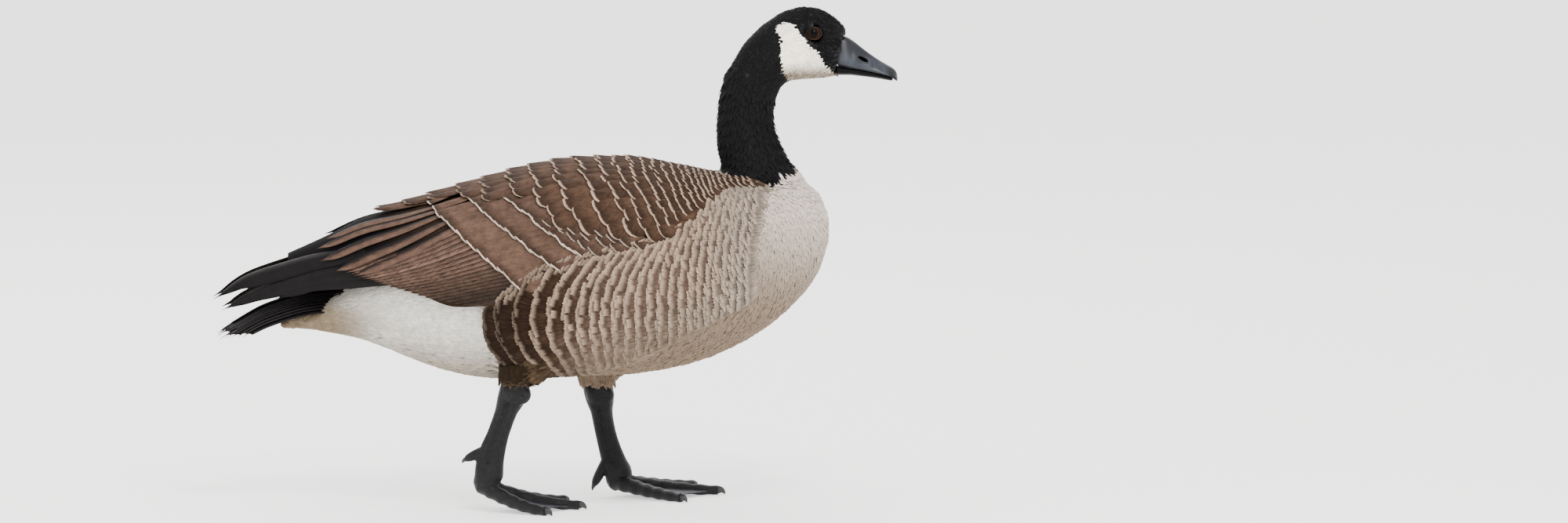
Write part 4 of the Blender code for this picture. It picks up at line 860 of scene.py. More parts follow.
def make_skin(sizes):
    """One skin from the solids of the flesh, smoothed and moved in by the coat's depth."""
    copies = []
    for name in FLESH:
        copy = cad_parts[name].copy()
        copy.data = copy.data.copy()
        bpy.context.scene.collection.objects.link(copy)
        copies.append(copy)
    skin = joined("skin", copies)
    edit_all(skin, bpy.ops.mesh.remove_doubles, threshold=1e-6)
    modify(
        skin,
        ("DISPLACE", dict(strength=CLOSE_SEAMS, mid_level=0)),
        ("REMESH", dict(mode="VOXEL", voxel_size=sizes.skin_voxel)),
        ("SMOOTH", dict(factor=0.6, iterations=14)),
        ("DISPLACE", dict(strength=-sizes.coat_depth - CLOSE_SEAMS, mid_level=0)),
        ("TRIANGULATE", {}),
    )
    # The short coat of head, neck and vent hardly needs depth, other than round the eyes and the bill
    places, normals = rows_of(skin.data.vertices, "co", 3), rows_of(skin.data.vertices, "normal", 3)
    x, _, z = places.T
    chin = smooth(0.447, 0.441, z) * smooth(0.281, 0.272, x)
    forehead = np.maximum(smooth(0.479, 0.486, z), smooth(0.264, 0.272, x) * smooth(0.462, 0.472, z))
    off_face = 0.3 + 0.7 * np.maximum(smooth(0.264, 0.244, x), np.maximum(chin, forehead))
    fuller = (0.0034 + 0.0008 * forehead) * smooth(0.335, 0.365, z) * off_face * (x > 0.13)
    fuller = fuller + read(UNDERSIDE, x)[0] * smooth(0.215, 0.185, z)
    skin.data.vertices.foreach_set("co", (places + normals * fuller[:, None]).ravel())
    skin.data.materials.clear()
    skin.data.shade_smooth()
    for layer in list(skin.data.uv_layers):
        skin.data.uv_layers.remove(layer)
    skin.data.uv_layers.new(name="OFBake")
    edit_all(skin, bpy.ops.uv.smart_project, angle_limit=math.radians(66), island_margin=0.004)
    return skin


def picture(places, tone, rng):
    """The markings of feathers with tips here, with painted shade below and a painted sheen on the black:
    colours of ground and edge, and the edge's share.
    """
    x, y, z = places.T
    count = len(x)
    noise = rng.normal(0, 1, count)
    # Breast and belly darken downwards: partly their own browner colour, partly painted shade on the
    # underside
    fall = z + 0.30 * (x - 0.23)
    edge = mixed(tone["breast"], tone["breast_side"], smooth(0.320, 0.200, fall))
    edge = mixed(edge, tone["belly"] * 1.45, 0.85 * smooth(0.250, 0.150, z))
    brown = smooth(0.225, 0.140, x) * smooth(0.180, 0.230, z)
    base = mixed(tone["flank_fore"], tone["belly"], 1 - brown)
    spotted = rng.random(count) < 0.14 + 0.32 * smooth(0.25, 0.15, z)
    base = mixed(base, tone["mottle"], 0.9 * spotted)
    ground = mixed(edge, base, 0.14 + 0.40 * smooth(0.330, 0.190, fall) + 0.30 * brown)
    band = 0.13 * rng.uniform(0.7, 1.3, count)
    # White behind the flank and under the tail, with painted shade on its underside and beneath the tail
    white = smooth(-0.040, -0.062, x + 0.30 * (z - 0.134))
    shade = smooth(0.205, 0.145, z + 0.12 * (x + 0.20)) * 0.8
    shade = np.maximum(shade, smooth(-0.14, -0.23, x) * smooth(0.215, 0.190, z))
    pale = mixed(tone["white"], tone["white_shade"], shade)
    ground, edge = mixed(ground, pale, white), mixed(edge, pale * 1.04, white)
    # The tail's black runs forwards into the white, with a jagged border
    low = np.interp(x, (-0.278, -0.250, -0.212), (0.1815, 0.1930, 0.2100)) + 0.0006 * noise
    high = np.interp(x, (-0.270, -0.247, -0.223, -0.200), (0.2180, 0.2165, 0.2130, 0.2105)) - 0.0005 * noise
    root = (x < -0.211) & (z > low) & (z < high)
    ground[root], edge[root] = tone["flight"], tone["flight_edge"]
    # Thighs
    tuft = smooth(0.034, 0.000, x + 0.006 * noise) * smooth(-0.064, -0.054, x)
    tuft = tuft * smooth(0.176, 0.160, z + 0.002 * noise) * (y <= 0)
    ground = mixed(ground, mixed(tone["thigh"], tone["mottle"], 0.8 * rng.random(count)), tuft)
    edge = mixed(edge, tone["thigh_edge"], tuft)
    # Black neck and head with a white cheek
    black = (z > read(COLLAR, x)[0] + 0.0022 * noise) & (x > 0.148)
    ground[black] = mixed(tone["black"], tone["black_edge"], 0.25 * rng.random(black.sum()))
    # The black feathers' tips take a painted sheen
    edge[black] = tone["black_edge"]
    wobble = 0.0007 * rng.normal(0, 1, (2, count))
    cheek = black & inside(x + wobble[0], z + wobble[1], CHEEK)
    # The white patch darkens towards the chin: painted shade under the head
    chin_shade = smooth(0.446, 0.428, z) * (0.75 + 0.25 * rng.random(count))
    shaded = mixed(tone["cheek"], tone["cheek_shade"], chin_shade)
    ground[cheek], edge[cheek] = shaded[cheek], shaded[cheek] * 1.08
    return ground * shades(rng, 0.05, count), edge, band


def colours_of(scene):
    return {key: np.array(getattr(scene.goose_colours, key)) for key in GooseColours.__annotations__}


def draws(scene, order):
    """A stream of random numbers of its own for each piece."""
    return np.random.default_rng(scene.goose_stage.seed + order)


def skin_tract(name, kind, slot, wanted, spacing, form, scene, order):
    """A tract of small feathers spread over a part of the skin, raised in ruffles about 10 mm apart.

    Its form is the feathers' length, half width and lift, and how much the ruffles add to the lift."""
    size, half, lift, ruffle = form
    rng = draws(scene, order)
    root, up, patch = Skin.made.scatter(wanted, spacing, rng)
    count = len(root)
    way = lie(root, up)
    way = unit(way + np.cross(up, way) * rng.normal(0, 0.10, (count, 1)))
    size = size * rng.uniform(0.85, 1.15, count)
    tip, tip_up, _ = Skin.made.nearest(root + way * size[:, None])
    ground, edge, band = picture(tip, colours_of(scene), rng)
    wave = root[:, 2] / 0.011 + 0.5 * np.sin(root[:, 0] / 0.006) + 0.5 * np.sin(root[:, 1] / 0.007)
    lift = lift * (1 + ruffle * np.sin(2 * math.pi * wave))
    half, lift = half * rng.uniform(0.85, 1.15, count), lift * rng.uniform(0.7, 1.2, count)
    points = on_skin(leaf(), root, tip, up, tip_up, half, lift, 0.0006)
    coat_piece(name, kind, slot, [(leaf(), points, ground, edge, band, (patch, PATCH))])


class GOOSE_OT_skin(bpy.types.Operator):
    """Makes the skin under the coat, in the coat's markings darkened as painted shade"""

    bl_idname = "goose.skin"
    bl_label = "Skin"

    def execute(self, context):
        scene = context.scene
        skin = make_skin(scene.goose_sizes)
        Skin.made = Skin(skin.data)
        rng = draws(scene, 0)
        ground, _, _ = picture(Skin.made.points, colours_of(scene), rng)
        # Painted shade in the gaps: the skin takes the coat's colours at 45 %, or at 85 % where the coat is
        # pale
        pale = (Skin.made.points[:, :1] < -0.05) | (ground[:, :1] > 0.35)
        add_attribute(skin, "ground", ground * np.where(pale, 0.85, 0.45))
        # Skin and down between the feathers: dull, in the coat's colours darkened as painted shade, seen only
        # through gaps
        paint, node = new_material("bare skin and down")
        tone = node("Attribute", attribute_name="ground")
        down = node("TexNoise", {"Vector": node("TexCoord").outputs["Object"], "Scale": 400.0})
        bump = node("Bump", {"Height": down, "Strength": 0.5, "Distance": 0.001})
        look = {"Base Color": tone, "Roughness": 0.9, "Normal": bump}
        node("OutputMaterial", {"Surface": node("BsdfPrincipled", look)})
        skin.data.materials.append(paint)
        finish(skin, "body_plumage", *FLESH)
        return {"FINISHED"}


def on_head(place):
    x, _, z = place.T
    return (z > read(HEAD_EDGE, x)[0]) & (x > 0.14)


def on_neck(place):
    x, _, z = place.T
    return (z > read(COLLAR, x)[0] - 0.004) & (x > 0.150) & ~on_head(place)


def bare_face(place):
    """The eye's opening and the bill's base, where no feathers grow."""
    x, _, z = place.T
    eye = np.hypot((x - EYE[0]) / EYE_OPENING[0], (z - EYE[2]) / EYE_OPENING[1]) < 1.07
    return eye | (x > 0.2895) | ((z < 0.4420) & (x > 0.2805))


class GOOSE_OT_head(bpy.types.Operator):
    """Lays the short feathers of the head and the neck"""

    bl_idname = "goose.head"
    bl_label = "Head and neck"

    def execute(self, context):
        scene = context.scene
        tracts = (
            ("head", lambda p: on_head(p) & ~bare_face(p), "face_spacing", (0.0046, 0.0010, 0.0012, 0.0)),
            ("neck", on_neck, "neck_spacing", (0.0095, 0.0017, 0.0020, 0.45)),
        )
        for order, (name, wanted, key, form) in enumerate(tracts, 1):
            spacing = getattr(scene.goose_sizes, key)
            skin_tract(name + "_feathers", "velvet", "black_plumage", wanted, spacing, form, scene, order)
        return {"FINISHED"}


def under_rows(place):
    """Where the folded wing, the back's rows or the flank's rows hide the skin."""
    x, _, z = place.T
    line = read(WING_LINE, x)[0]
    front = (z > line + 0.004) & (x < 0.160)
    rear = z > read(REAR_LINE, x)[0] + 0.012
    flank = (x > -0.060) & (x < 0.150) & (z > read(BAR_SHAPE, x)[3] + 0.016) & (z < line + 0.02)
    return np.where(x > -0.062, front, rear) | flank


def open_coat(place):
    return ~(on_head(place) | on_neck(place) | under_rows(place))


def behind(place):
    return place[:, 0] + 0.30 * (place[:, 2] - 0.134) < -0.046


def on_thigh(place):
    x, y, z = place.T
    near = (np.hypot(x + 0.028, z - 0.148) < 0.026) & (y < -0.04) & (z < 0.158)
    far = (np.hypot(x - 0.045, z - 0.128) < 0.024) & (y > 0.045) & (z < 0.134)
    return near | far


def on_breast(place):
    return open_coat(place) & ~behind(place) & (place[:, 0] > 0.165)


def on_belly(place):
    return open_coat(place) & ~behind(place) & (place[:, 0] <= 0.168) & ~on_thigh(place)


def leg_tuft(name, leg, ground, edge, reach, rng):
    """Soft feathers that hang from the flank round the top of a leg."""
    count = TUFT_FEATHERS
    top = np.array(leg[0][:3])
    down = unit(np.array(leg[1][:3]) - top)
    turn, high = rng.uniform(0, 2 * math.pi, count), rng.uniform(-0.002, 0.016, count)
    out = np.stack([np.cos(turn), np.sin(turn), np.zeros(count)], 1)
    root = top - down * high[:, None] + out * (0.0185 + 0.35 * high)[:, None]
    tip = top + down * (reach * rng.uniform(0.7, 1.05, count) - 0.5 * high)[:, None]
    tip = tip + unit(out + rng.normal(0, 0.08, out.shape)) * 0.0172
    half = 0.0017 * rng.uniform(0.8, 1.2, count)
    points = on_skin(leaf(), root, tip, out, out, half, 0.0008, 0.0008)
    varied = shades(rng, 0.18, count)
    part = (leaf(), points, ground * varied, edge * varied, 0.2, patch_at(root))
    coat_piece("leg_tuft_" + name, "contour", "thigh_plumage", [part])


class GOOSE_OT_body(bpy.types.Operator):
    """Lays the feathers of the breast, belly, vent and thighs"""

    bl_idname = "goose.body"
    bl_label = "Breast, belly and vent"

    def execute(self, context):
        scene = context.scene
        body, vent = scene.goose_sizes.body_spacing, scene.goose_sizes.vent_spacing
        tracts = (
            ("breast", "body", on_breast, body, (0.0105, 0.0020, 0.0018, 0.15)),
            ("belly", "body", on_belly, body, (0.0120, 0.0023, 0.0022, 0.15)),
            ("vent", "white", lambda p: open_coat(p) & behind(p), vent, (0.0230, 0.0036, 0.0020, 0.0)),
            ("thigh", "thigh", on_thigh, body, (0.0170, 0.0030, 0.0040, 0.2)),
        )
        for order, (name, slot, wanted, spacing, form) in enumerate(tracts, 3):
            skin_tract(name + "_feathers", "contour", slot + "_plumage", wanted, spacing, form, scene, order)
        tone = colours_of(scene)
        tufts = (
            ("left", LEFT_LEG, tone["belly"] * 0.9, tone["belly"] * 1.4, 0.0090),
            ("right", RIGHT_LEG, tone["thigh"], tone["thigh_edge"], 0.0070),
        )
        for order, tuft in enumerate(tufts, 7):
            leg_tuft(*tuft, draws(scene, order))
        return {"FINISHED"}


def spaced(x, z, side, spacing, offset):
    """Places at even distances along a line on the outline, given by its points in side view."""
    if len(x) < 2:
        return x[:0], z[:0]
    turn = turn_at(x, z)
    line = outline(x, turn, side)
    gone = np.concatenate([[0], np.cumsum(np.linalg.norm(np.diff(line, axis=0), axis=1))])
    wanted = np.arange(offset * spacing, gone[-1], spacing)
    return np.interp(wanted, gone, x), np.interp(wanted, gone, turn)


def bar_line(middle, z):
    """A bar of the flank at these heights: it bends forwards above and below its middle."""
    mid_height, upper, lower, _ = read(BAR_SHAPE, middle)
    above, below = np.maximum(z - mid_height, 0), np.maximum(mid_height - z, 0)
    return middle + upper * above**2 + lower * below**2, 2 * upper * above - 2 * lower * below


def flank_row(row, middle, side, tone, rng):
    """One bar of a flank: tips, roots, half widths, colours, bands and lifts of its feathers."""
    low = float(read(BAR_SHAPE, middle)[3]) - 0.012
    z = np.linspace(low, 0.345, 240)
    x, _ = bar_line(middle, z)
    keep = z < read(WING_LINE, x)[0] - 0.002
    length, half, spacing = read(FLANK_SIZES, middle)
    tip_x, tip_turn = spaced(x[keep], z[keep], side, float(spacing), 0.5 * (row % 2))
    count = len(tip_x)
    tip_x = tip_x + rng.normal(0, 0.0013, count)
    place = outline(tip_x, tip_turn, side)
    height = place[:, 2]
    angle = -np.arctan(bar_line(middle, height)[1]) * 0.85 - rng.normal(0, 0.05, count)
    size = length * rng.uniform(0.92, 1.08, count)
    deep = smooth(0.165, 0.205, height)
    strong = smooth(0.095, -0.035, tip_x) * (deep + (1 - deep) * smooth(0.045, -0.015, tip_x))
    ground = mixed(tone["flank_fore"], tone["flank"], np.clip(strong + rng.normal(0, 0.05, count), 0, 1))
    edge = mixed(tone["flank_edge"], tone["flank_edge"] * 0.62, smooth(0.03, -0.07, tip_x))
    last = smooth(-0.015, -0.055, tip_x)
    ground, edge = ground * (1 - 0.35 * last)[:, None], edge * (1 - 0.62 * last)[:, None]
    # Below, the bars lose themselves in the belly; in front they do so in the breast
    own_ground, own_edge, _ = picture(place, tone, rng)
    lost = smooth(low + 0.046, low + 0.012, height + 0.004 * rng.normal(0, 1, count))
    lost = lost * smooth(-0.030, 0.030, tip_x)
    ground, edge = mixed(ground, own_ground, lost), mixed(edge, own_edge, lost)
    fore = smooth(0.125, 0.195, tip_x)
    ground = mixed(ground, tone["breast_side"] * 0.62, fore)
    edge = mixed(edge, tone["breast_side"] * 0.95, fore)
    near_wing = smooth(0.018, 0.0, read(WING_LINE, tip_x)[0] - height) * smooth(0.165, 0.14, tip_x)
    return (
        np.stack([tip_x, tip_turn], 1),
        np.stack(root_of(tip_x, tip_turn, side, size, angle), 1),
        half * rng.uniform(0.9, 1.1, count),
        ground * shades(rng, 0.06, count),
        edge * shades(rng, 0.05, count),
        0.0044 / length * (1 - 0.35 * last) * rng.uniform(0.85, 1.15, count),
        0.0004 + 0.0026 * near_wing,
    )


def border_row(rise, offset, side, tone, rng):
    """Feathers along the wing's line, which close the flank's upper border."""
    x = np.linspace(0.120, -0.064, 200)
    tip_x, tip_turn = spaced(x, read(WING_LINE, x)[0] + rise, side, 0.0046, offset)
    count = len(tip_x)
    tip_x = tip_x + rng.normal(0, 0.0012, count)
    angle = -np.radians(np.interp(tip_x, (-0.06, 0.0, 0.10), (20, 42, 55))) - rng.normal(0, 0.10, count)
    size = 0.026 * rng.uniform(0.85, 1.15, count)
    rear = smooth(0.095, -0.035, tip_x)
    return (
        np.stack([tip_x, tip_turn], 1),
        np.stack(root_of(tip_x, tip_turn, side, size, angle), 1),
        np.full(count, 0.0058),
        mixed(tone["flank_fore"], tone["flank"], rear) * shades(rng, 0.08, count),
        mixed(tone["flank_edge"], tone["flank_edge"] * 0.62, rear),
        np.full(count, 0.13),
        np.full(count, 0.0022),
    )


def lay_rows(name, kind, slot, rows, side, shapes, limit, sink, tilt, rng):
    """One side's rows of feathers as a piece. Those wider than the limit take the first, finer shape."""
    tip, root, half, ground, edge, band, lift = (np.concatenate(column) for column in zip(*rows))
    parts = []
    for shape, chosen in zip(shapes, (half > limit, half <= limit)):
        roots = root[chosen]
        lean = rng.normal(*tilt, chosen.sum())
        points = on_hull(shape, roots, tip[chosen], half[chosen], side, lift[chosen], sink, lean)
        patches = patch_at(outline(*roots.T, side))
        parts.append((shape, points, ground[chosen], edge[chosen], band[chosen], patches))
    coat_piece(name, kind, slot, parts)


class GOOSE_OT_flanks(bpy.types.Operator):
    """Lays the barred feathers of both flanks and shoulders in curved rows"""

    bl_idname = "goose.flanks"
    bl_label = "Flanks"

    def execute(self, context):
        scene, tone = context.scene, colours_of(context.scene)
        shapes = (barbed(10, 0.11, 0.6, 0.84, 0.05), barbed(6, 0.13, 0.6, 0.78, 0.06))
        for name, side in SIDES:
            rng = draws(scene, 10 + side)
            rows = [flank_row(*bar, side, tone, rng) for bar in enumerate(FLANK_BARS)]
            rows += [border_row(*border, side, tone, rng) for border in ((0.004, 0.0), (-0.003, 0.5))]
            name = "flank_feathers_" + name
            lay_rows(name, "flank", "body_plumage", rows, side, shapes, 0.0062, 0.0050, (0, 0.03), rng)
        return {"FINISHED"}


def back_row(row, stations, side, tone, rng):
    """One row over the back and the shoulder: tips, roots, half widths, colours, bands and lifts."""
    top_x, length, half, spacing = stations
    z_top = float(read(HULL, top_x)[0])
    z = np.linspace(z_top, 0.24, 260)
    x = top_x + BACK_LEAN * (z_top - z) * smooth(-0.20, -0.02, top_x)
    keep = z > read(BACK_LOW, x)[0]
    tip_x, tip_turn = spaced(x[keep], z[keep], side, spacing, 0.35 + 0.5 * (row % 2))
    count = len(tip_x)
    tip_x = tip_x + rng.normal(0, 0.12 * spacing, count)
    out = smooth(0.0, 0.09, np.abs(outline(tip_x, tip_turn, side)[:, 1]))
    angle = np.radians(4 + 18 * out) + rng.normal(0, 0.04, count)
    root_x, root_turn = root_of(tip_x, tip_turn, side, length * rng.uniform(0.94, 1.06, count), angle)
    rear = smooth(0.00, -0.08, tip_x)
    ground = mixed(tone["back"], tone["covert"], np.clip(0.5 * rear + rng.normal(0, 0.1, count), 0, 1))
    edge = mixed(tone["back_edge"], ground, 0.55 * smooth(-0.02, -0.07, tip_x))
    ground = mixed(ground, tone["flank_fore"], 0.35 * smooth(0.12, 0.19, tip_x))
    half = half * rng.uniform(0.92, 1.08, count)
    return (
        np.stack([tip_x, tip_turn], 1),
        np.stack([root_x, np.minimum(root_turn, math.pi - 0.02)], 1),
        half,
        ground * shades(rng, 0.07, count),
        edge,
        0.0021 / length * rng.uniform(0.7, 1.3, count),
        0.0016 + 0.14 * half,
    )


class GOOSE_OT_back(bpy.types.Operator):
    """Lays the scaled feathers of the back and shoulders over the folded wings"""

    bl_idname = "goose.back"
    bl_label = "Back and shoulders"

    def execute(self, context):
        scene, tone = context.scene, colours_of(context.scene)
        shapes = (barbed(8, 0.022, 0.74, 0.72, 0.035, 0.03), barbed(5, 0.05, 0.7, 0.74, 0.06))
        for name, side in SIDES:
            rng = draws(scene, 20 + side)
            rows = [back_row(*row, side, tone, rng) for row in enumerate(BACK_ROWS)]
            name = "back_feathers_" + name
            lay_rows(name, "broad", "wing_plumage", rows, side, shapes, 0.0085, 0.0016, (-0.03, 0.02), rng)
        return {"FINISHED"}


def atlas(first, count, columns, rows):
    """Bake patches in a grid, one for each large feather."""
    at = np.arange(first, first + count)
    centre = np.stack([(at % columns + 0.5) / columns, (at // columns + 0.5) / rows], 1)
    return centre, (0.86 / columns, 0.92 / rows)


def as_turns(rows):
    """Points given as x and z become x and turn on the outline."""
    x, z = np.asarray(rows, float).T
    return np.stack([x, turn_at(x, z)], 1)


def wing_core(side):
    """The folded wing's body under its feathers: a curved plate with a rounded edge."""
    x = np.linspace(0.150, -0.268, 64)[:, None]
    first = turn_at(x, read(WING_EDGE, x)[0])
    turn = first + (math.pi - 0.01 - first) * np.linspace(0, 1, 26)
    below, depth = read(WING_SINK, x)[0], read(WING_DEPTH, x)[0]
    x, below, depth = (np.broadcast_to(v, turn.shape) for v in (x, below, depth))
    layers = [hull(x, turn, side, -low)[0].reshape(-1, 3) for low in (below, below + depth)]
    rows, columns = turn.shape
    shift = rows * columns
    faces = []
    for ring in grid_faces(rows, columns):
        faces += [ring, tuple(k + shift for k in ring[::-1])]
    border = [i * columns for i in range(rows)] + [(rows - 1) * columns + j for j in range(1, columns)]
    border += [i * columns + columns - 1 for i in range(rows - 2, -1, -1)] + list(range(columns - 2, 0, -1))
    for one, other in zip(border, border[1:] + border[:1]):
        faces.append((one, other, other + shift, one + shift))
    return np.concatenate(layers), faces


def wing_plate_material(tone):
    """Packed bases of the feathers under the coverts, brown and black towards the rear, all darkened as
    painted shade.
    """
    paint, node = new_material("feather bases")
    space = node("TexCoord").outputs["Object"]
    fleck = node("TexNoise", {"Vector": space, "Scale": 180.0})
    # Painted shade: the browns at 60 % and the primaries' black at 70 %
    brown = blend(fleck, tone["wing_dark"] * 0.6, tone["back"] * 0.6)
    x = node("SeparateXYZ", {"Vector": space})
    rear = node("MapRange", span(x, -0.13, -0.18))
    base = blend(rear, node("Mix", brown, **IN_COLOUR), tone["flight"] * 0.7)
    look = {"Base Color": node("Mix", base, **IN_COLOUR), "Roughness": 0.85, "Specular IOR Level": 0.06}
    node("OutputMaterial", {"Surface": node("BsdfPrincipled", look)})
    return paint


def secondaries(side, tone, rng):
    """The row of secondaries, and the tertials over it."""
    vane = blade(15, 7, ((0, 0.7), (0.5, 1.0), (0.8, 0.95), (0.93, 0.62), (1.0, 0.12)))
    at, share = np.linspace(0, 1, len(SECONDARY_TIPS)), np.linspace(1, 0, SECONDARIES)
    tips, roots = (
        as_turns(read(np.column_stack([at, line]), share).T) for line in (SECONDARY_TIPS, SECONDARY_ROOTS)
    )
    half = SECONDARY_HALF_WIDTH
    ground = mixed(tone["wing_dark"] * 2.0, tone["wing"] * 1.35, smooth(0.0, 0.75, share[::-1]))
    ground = ground * shades(rng, 0.16, SECONDARIES)
    skew = line_skew(roots, tips, half, side)
    points = on_hull(vane, roots, tips, half, side, 0.0006, 0.0022, -0.14, 0.006, skew)
    # Their upper halves, under the lower edges of the feathers above, are painted in shadow
    first = (vane, points, ground, tone["wing_dark"] * 0.45, 0.50, atlas(0, SECONDARIES, 10, 4))

    vane = blade(18, 7, ((0, 0.7), (0.5, 1.0), (0.85, 0.92), (0.95, 0.6), (1.0, 0.15)))
    rows = np.array(TERTIALS)
    count = len(rows)
    roots, tips, lift = as_turns(rows[:, :2]), as_turns(rows[:, 2:4]), 0.0016 + 0.0003 * np.arange(count)
    points = on_hull(vane, roots, tips, rows[:, 4], side, lift, 0.0012, -0.12, rows[:, 5])
    ground = tone["wing"] * 0.95 * shades(rng, 0.08, count)
    # The tertials' upper halves are painted black as the shadow in the gaps between them
    return [first, (vane, points, ground, tone["flight"], 0.46, atlas(SECONDARIES, count, 10, 4))]


def coverts(side, tone, rng):
    """The wing's coverts, row over row. The three long rows have square tips that run on as a line."""
    square, blunt = barbed(8, 0.018, 0.60, 0.962, 0.024, 0.012), barbed(5, 0.03, 0.70, 0.88, 0.04, 0.02)
    parts = []
    for row, (first, last, count, size, half, first_slope, last_slope) in enumerate(COVERTS):
        long_row = row < 3
        shape = square if long_row else blunt
        share = np.linspace(1, 0, count)
        tip = np.array(first) + np.subtract(last, first) * share[:, None]
        tip = tip + rng.normal(0, 0.0007, tip.shape)
        slope = np.radians(first_slope + (last_slope - first_slope) * share)
        root = as_turns(tip + size * np.stack([np.cos(slope), np.sin(slope)], 1))
        tip = as_turns(tip)
        skew = line_skew(root, tip, half, side) * (0.74 if long_row else 0.35)
        skew = skew * rng.uniform(0.8, 1.15, count)
        points = on_hull(shape, root, tip, half, side, 0.0020 + 0.0003 * row, 0.0012, -0.06, 0.006, skew)
        ground = mixed(tone["covert"], tone["wing"], np.clip(0.2 + rng.normal(0, 0.12, count), 0, 1))
        ground = ground * (1.18 if row == 0 else 1.0)
        edge = tone["covert_edge"] * (1.0 if long_row else 0.5) * shades(rng, 0.15, count)
        parts.append((shape, points, ground, edge, 0.0015 / size, patch_at(outline(*root.T, side))))
    return parts


class GOOSE_OT_wings(bpy.types.Operator):
    """Folds both wings: the plate under the feathers, secondaries, tertials and coverts"""

    bl_idname = "goose.wings"
    bl_label = "Folded wings"

    def execute(self, context):
        scene, tone = context.scene, colours_of(context.scene)
        thickness = scene.goose_sizes.flight_thickness
        paint = wing_plate_material(tone)
        slot = "wing_plumage"
        for name, side in SIDES:
            rng = draws(scene, 30 + side)
            core = add_piece("wing_core_" + name, *wing_core(side), paint)
            edit_all(core, bpy.ops.mesh.normals_make_consistent, inside=False)
            finish(core, slot)
            parts = secondaries(side, tone, rng)
            coat_piece("secondaries_" + name, "flight", slot, parts, ("wing_" + name,), thickness)
            coat_piece("coverts_" + name, "broad", slot, coverts(side, tone, rng))
        return {"FINISHED"}


class GOOSE_OT_primaries(bpy.types.Operator):
    """Lays the black tips of the outer flight feathers over the tail"""

    bl_idname = "goose.primaries"
    bl_label = "Primaries"

    def execute(self, context):
        scene, tone = context.scene, colours_of(context.scene)
        thickness = scene.goose_sizes.flight_thickness
        vane = blade(22, 7, ((0, 0.75), (0.45, 1.0), (0.75, 0.92), (0.9, 0.6), (1.0, 0.06)), splits=0.02)
        rows = np.array(PRIMARIES)
        count = len(rows)
        roots, tips = as_turns(rows[:, :2]), as_turns(rows[:, 2:4])
        for name, side in SIDES:
            rng = draws(scene, 40 + side)
            points = on_hull(vane, roots, tips, rows[:, 4], side, rows[:, 5], 0.0035, -0.10, 0.02)
            ground = tone["flight"] * 0.8 * shades(rng, 0.1, count)
            part = (vane, points, ground, tone["flight_edge"], 0.12, atlas(0, count, 8, 1))
            nodes = ("primaries_" + name,)
            coat_piece("primary_feathers_" + name, "flight", "flight_feather", [part], nodes, thickness)
        return {"FINISHED"}


class GOOSE_OT_tail(bpy.types.Operator):
    """Fans the black tail feathers, frayed at the tips"""

    bl_idname = "goose.tail"
    bl_label = "Tail"

    def execute(self, context):
        scene, tone = context.scene, colours_of(context.scene)
        thickness = scene.goose_sizes.flight_thickness
        rng = draws(scene, 50)
        shape = blade(24, 11, ((0, 0.7), (0.5, 1.0), (0.9, 0.95), (0.97, 0.8), (1.0, 0.6)), splits=0.10)
        a, c, crown = shape["along"], shape["across"], shape["crown"]
        half = RECTRIX_HALF_WIDTH[0] + (RECTRIX_HALF_WIDTH[1] - RECTRIX_HALF_WIDTH[0]) * a
        spread = TAIL_SPREAD[0] + (TAIL_SPREAD[1] - TAIL_SPREAD[0]) * a
        points = []
        for i in range(RECTRICES):
            side = 1 if i % 2 else -1
            step = i // 2 + 0.5
            out = step / (RECTRICES / 2 - 0.5)
            tip_x = TAIL_LINE[-1][0] + TAIL_ROUNDING * out**2 + rng.uniform(0, 0.010)
            x = TAIL_ROOT_X + (tip_x - TAIL_ROOT_X) * a
            z = read(TAIL_LINE, x)[0] - TAIL_STEP * step - TAIL_ARCH * out**2
            roll = math.radians(9) + rng.normal(0, 0.05)
            z = z - side * c * half * math.tan(roll) + crown * half * 0.4
            points.append(np.stack([x, side * out * spread + c * half, z], 1))
        ground = tone["flight"] * 1.7 * shades(rng, 0.25, RECTRICES)
        part = (shape, np.array(points), ground, tone["flight_edge"], 0.10, atlas(0, RECTRICES, 9, 2))
        coat_piece("tail_feathers", "flight", "flight_feather", [part], ("tail",), thickness)
        return {"FINISHED"}


def lofted(name, rings, *materials):
    """A closed mesh through rings with the same number of points."""
    size, count = len(rings[0]), len(rings)
    faces = grid_faces(count, size, closed=True)
    faces += [tuple(range(size))[::-1], tuple(range((count - 1) * size, count * size))]
    obj = add_piece(name, np.concatenate(rings), faces, *materials)
    edit_all(obj, bpy.ops.mesh.normals_make_consistent, inside=False)
    return obj


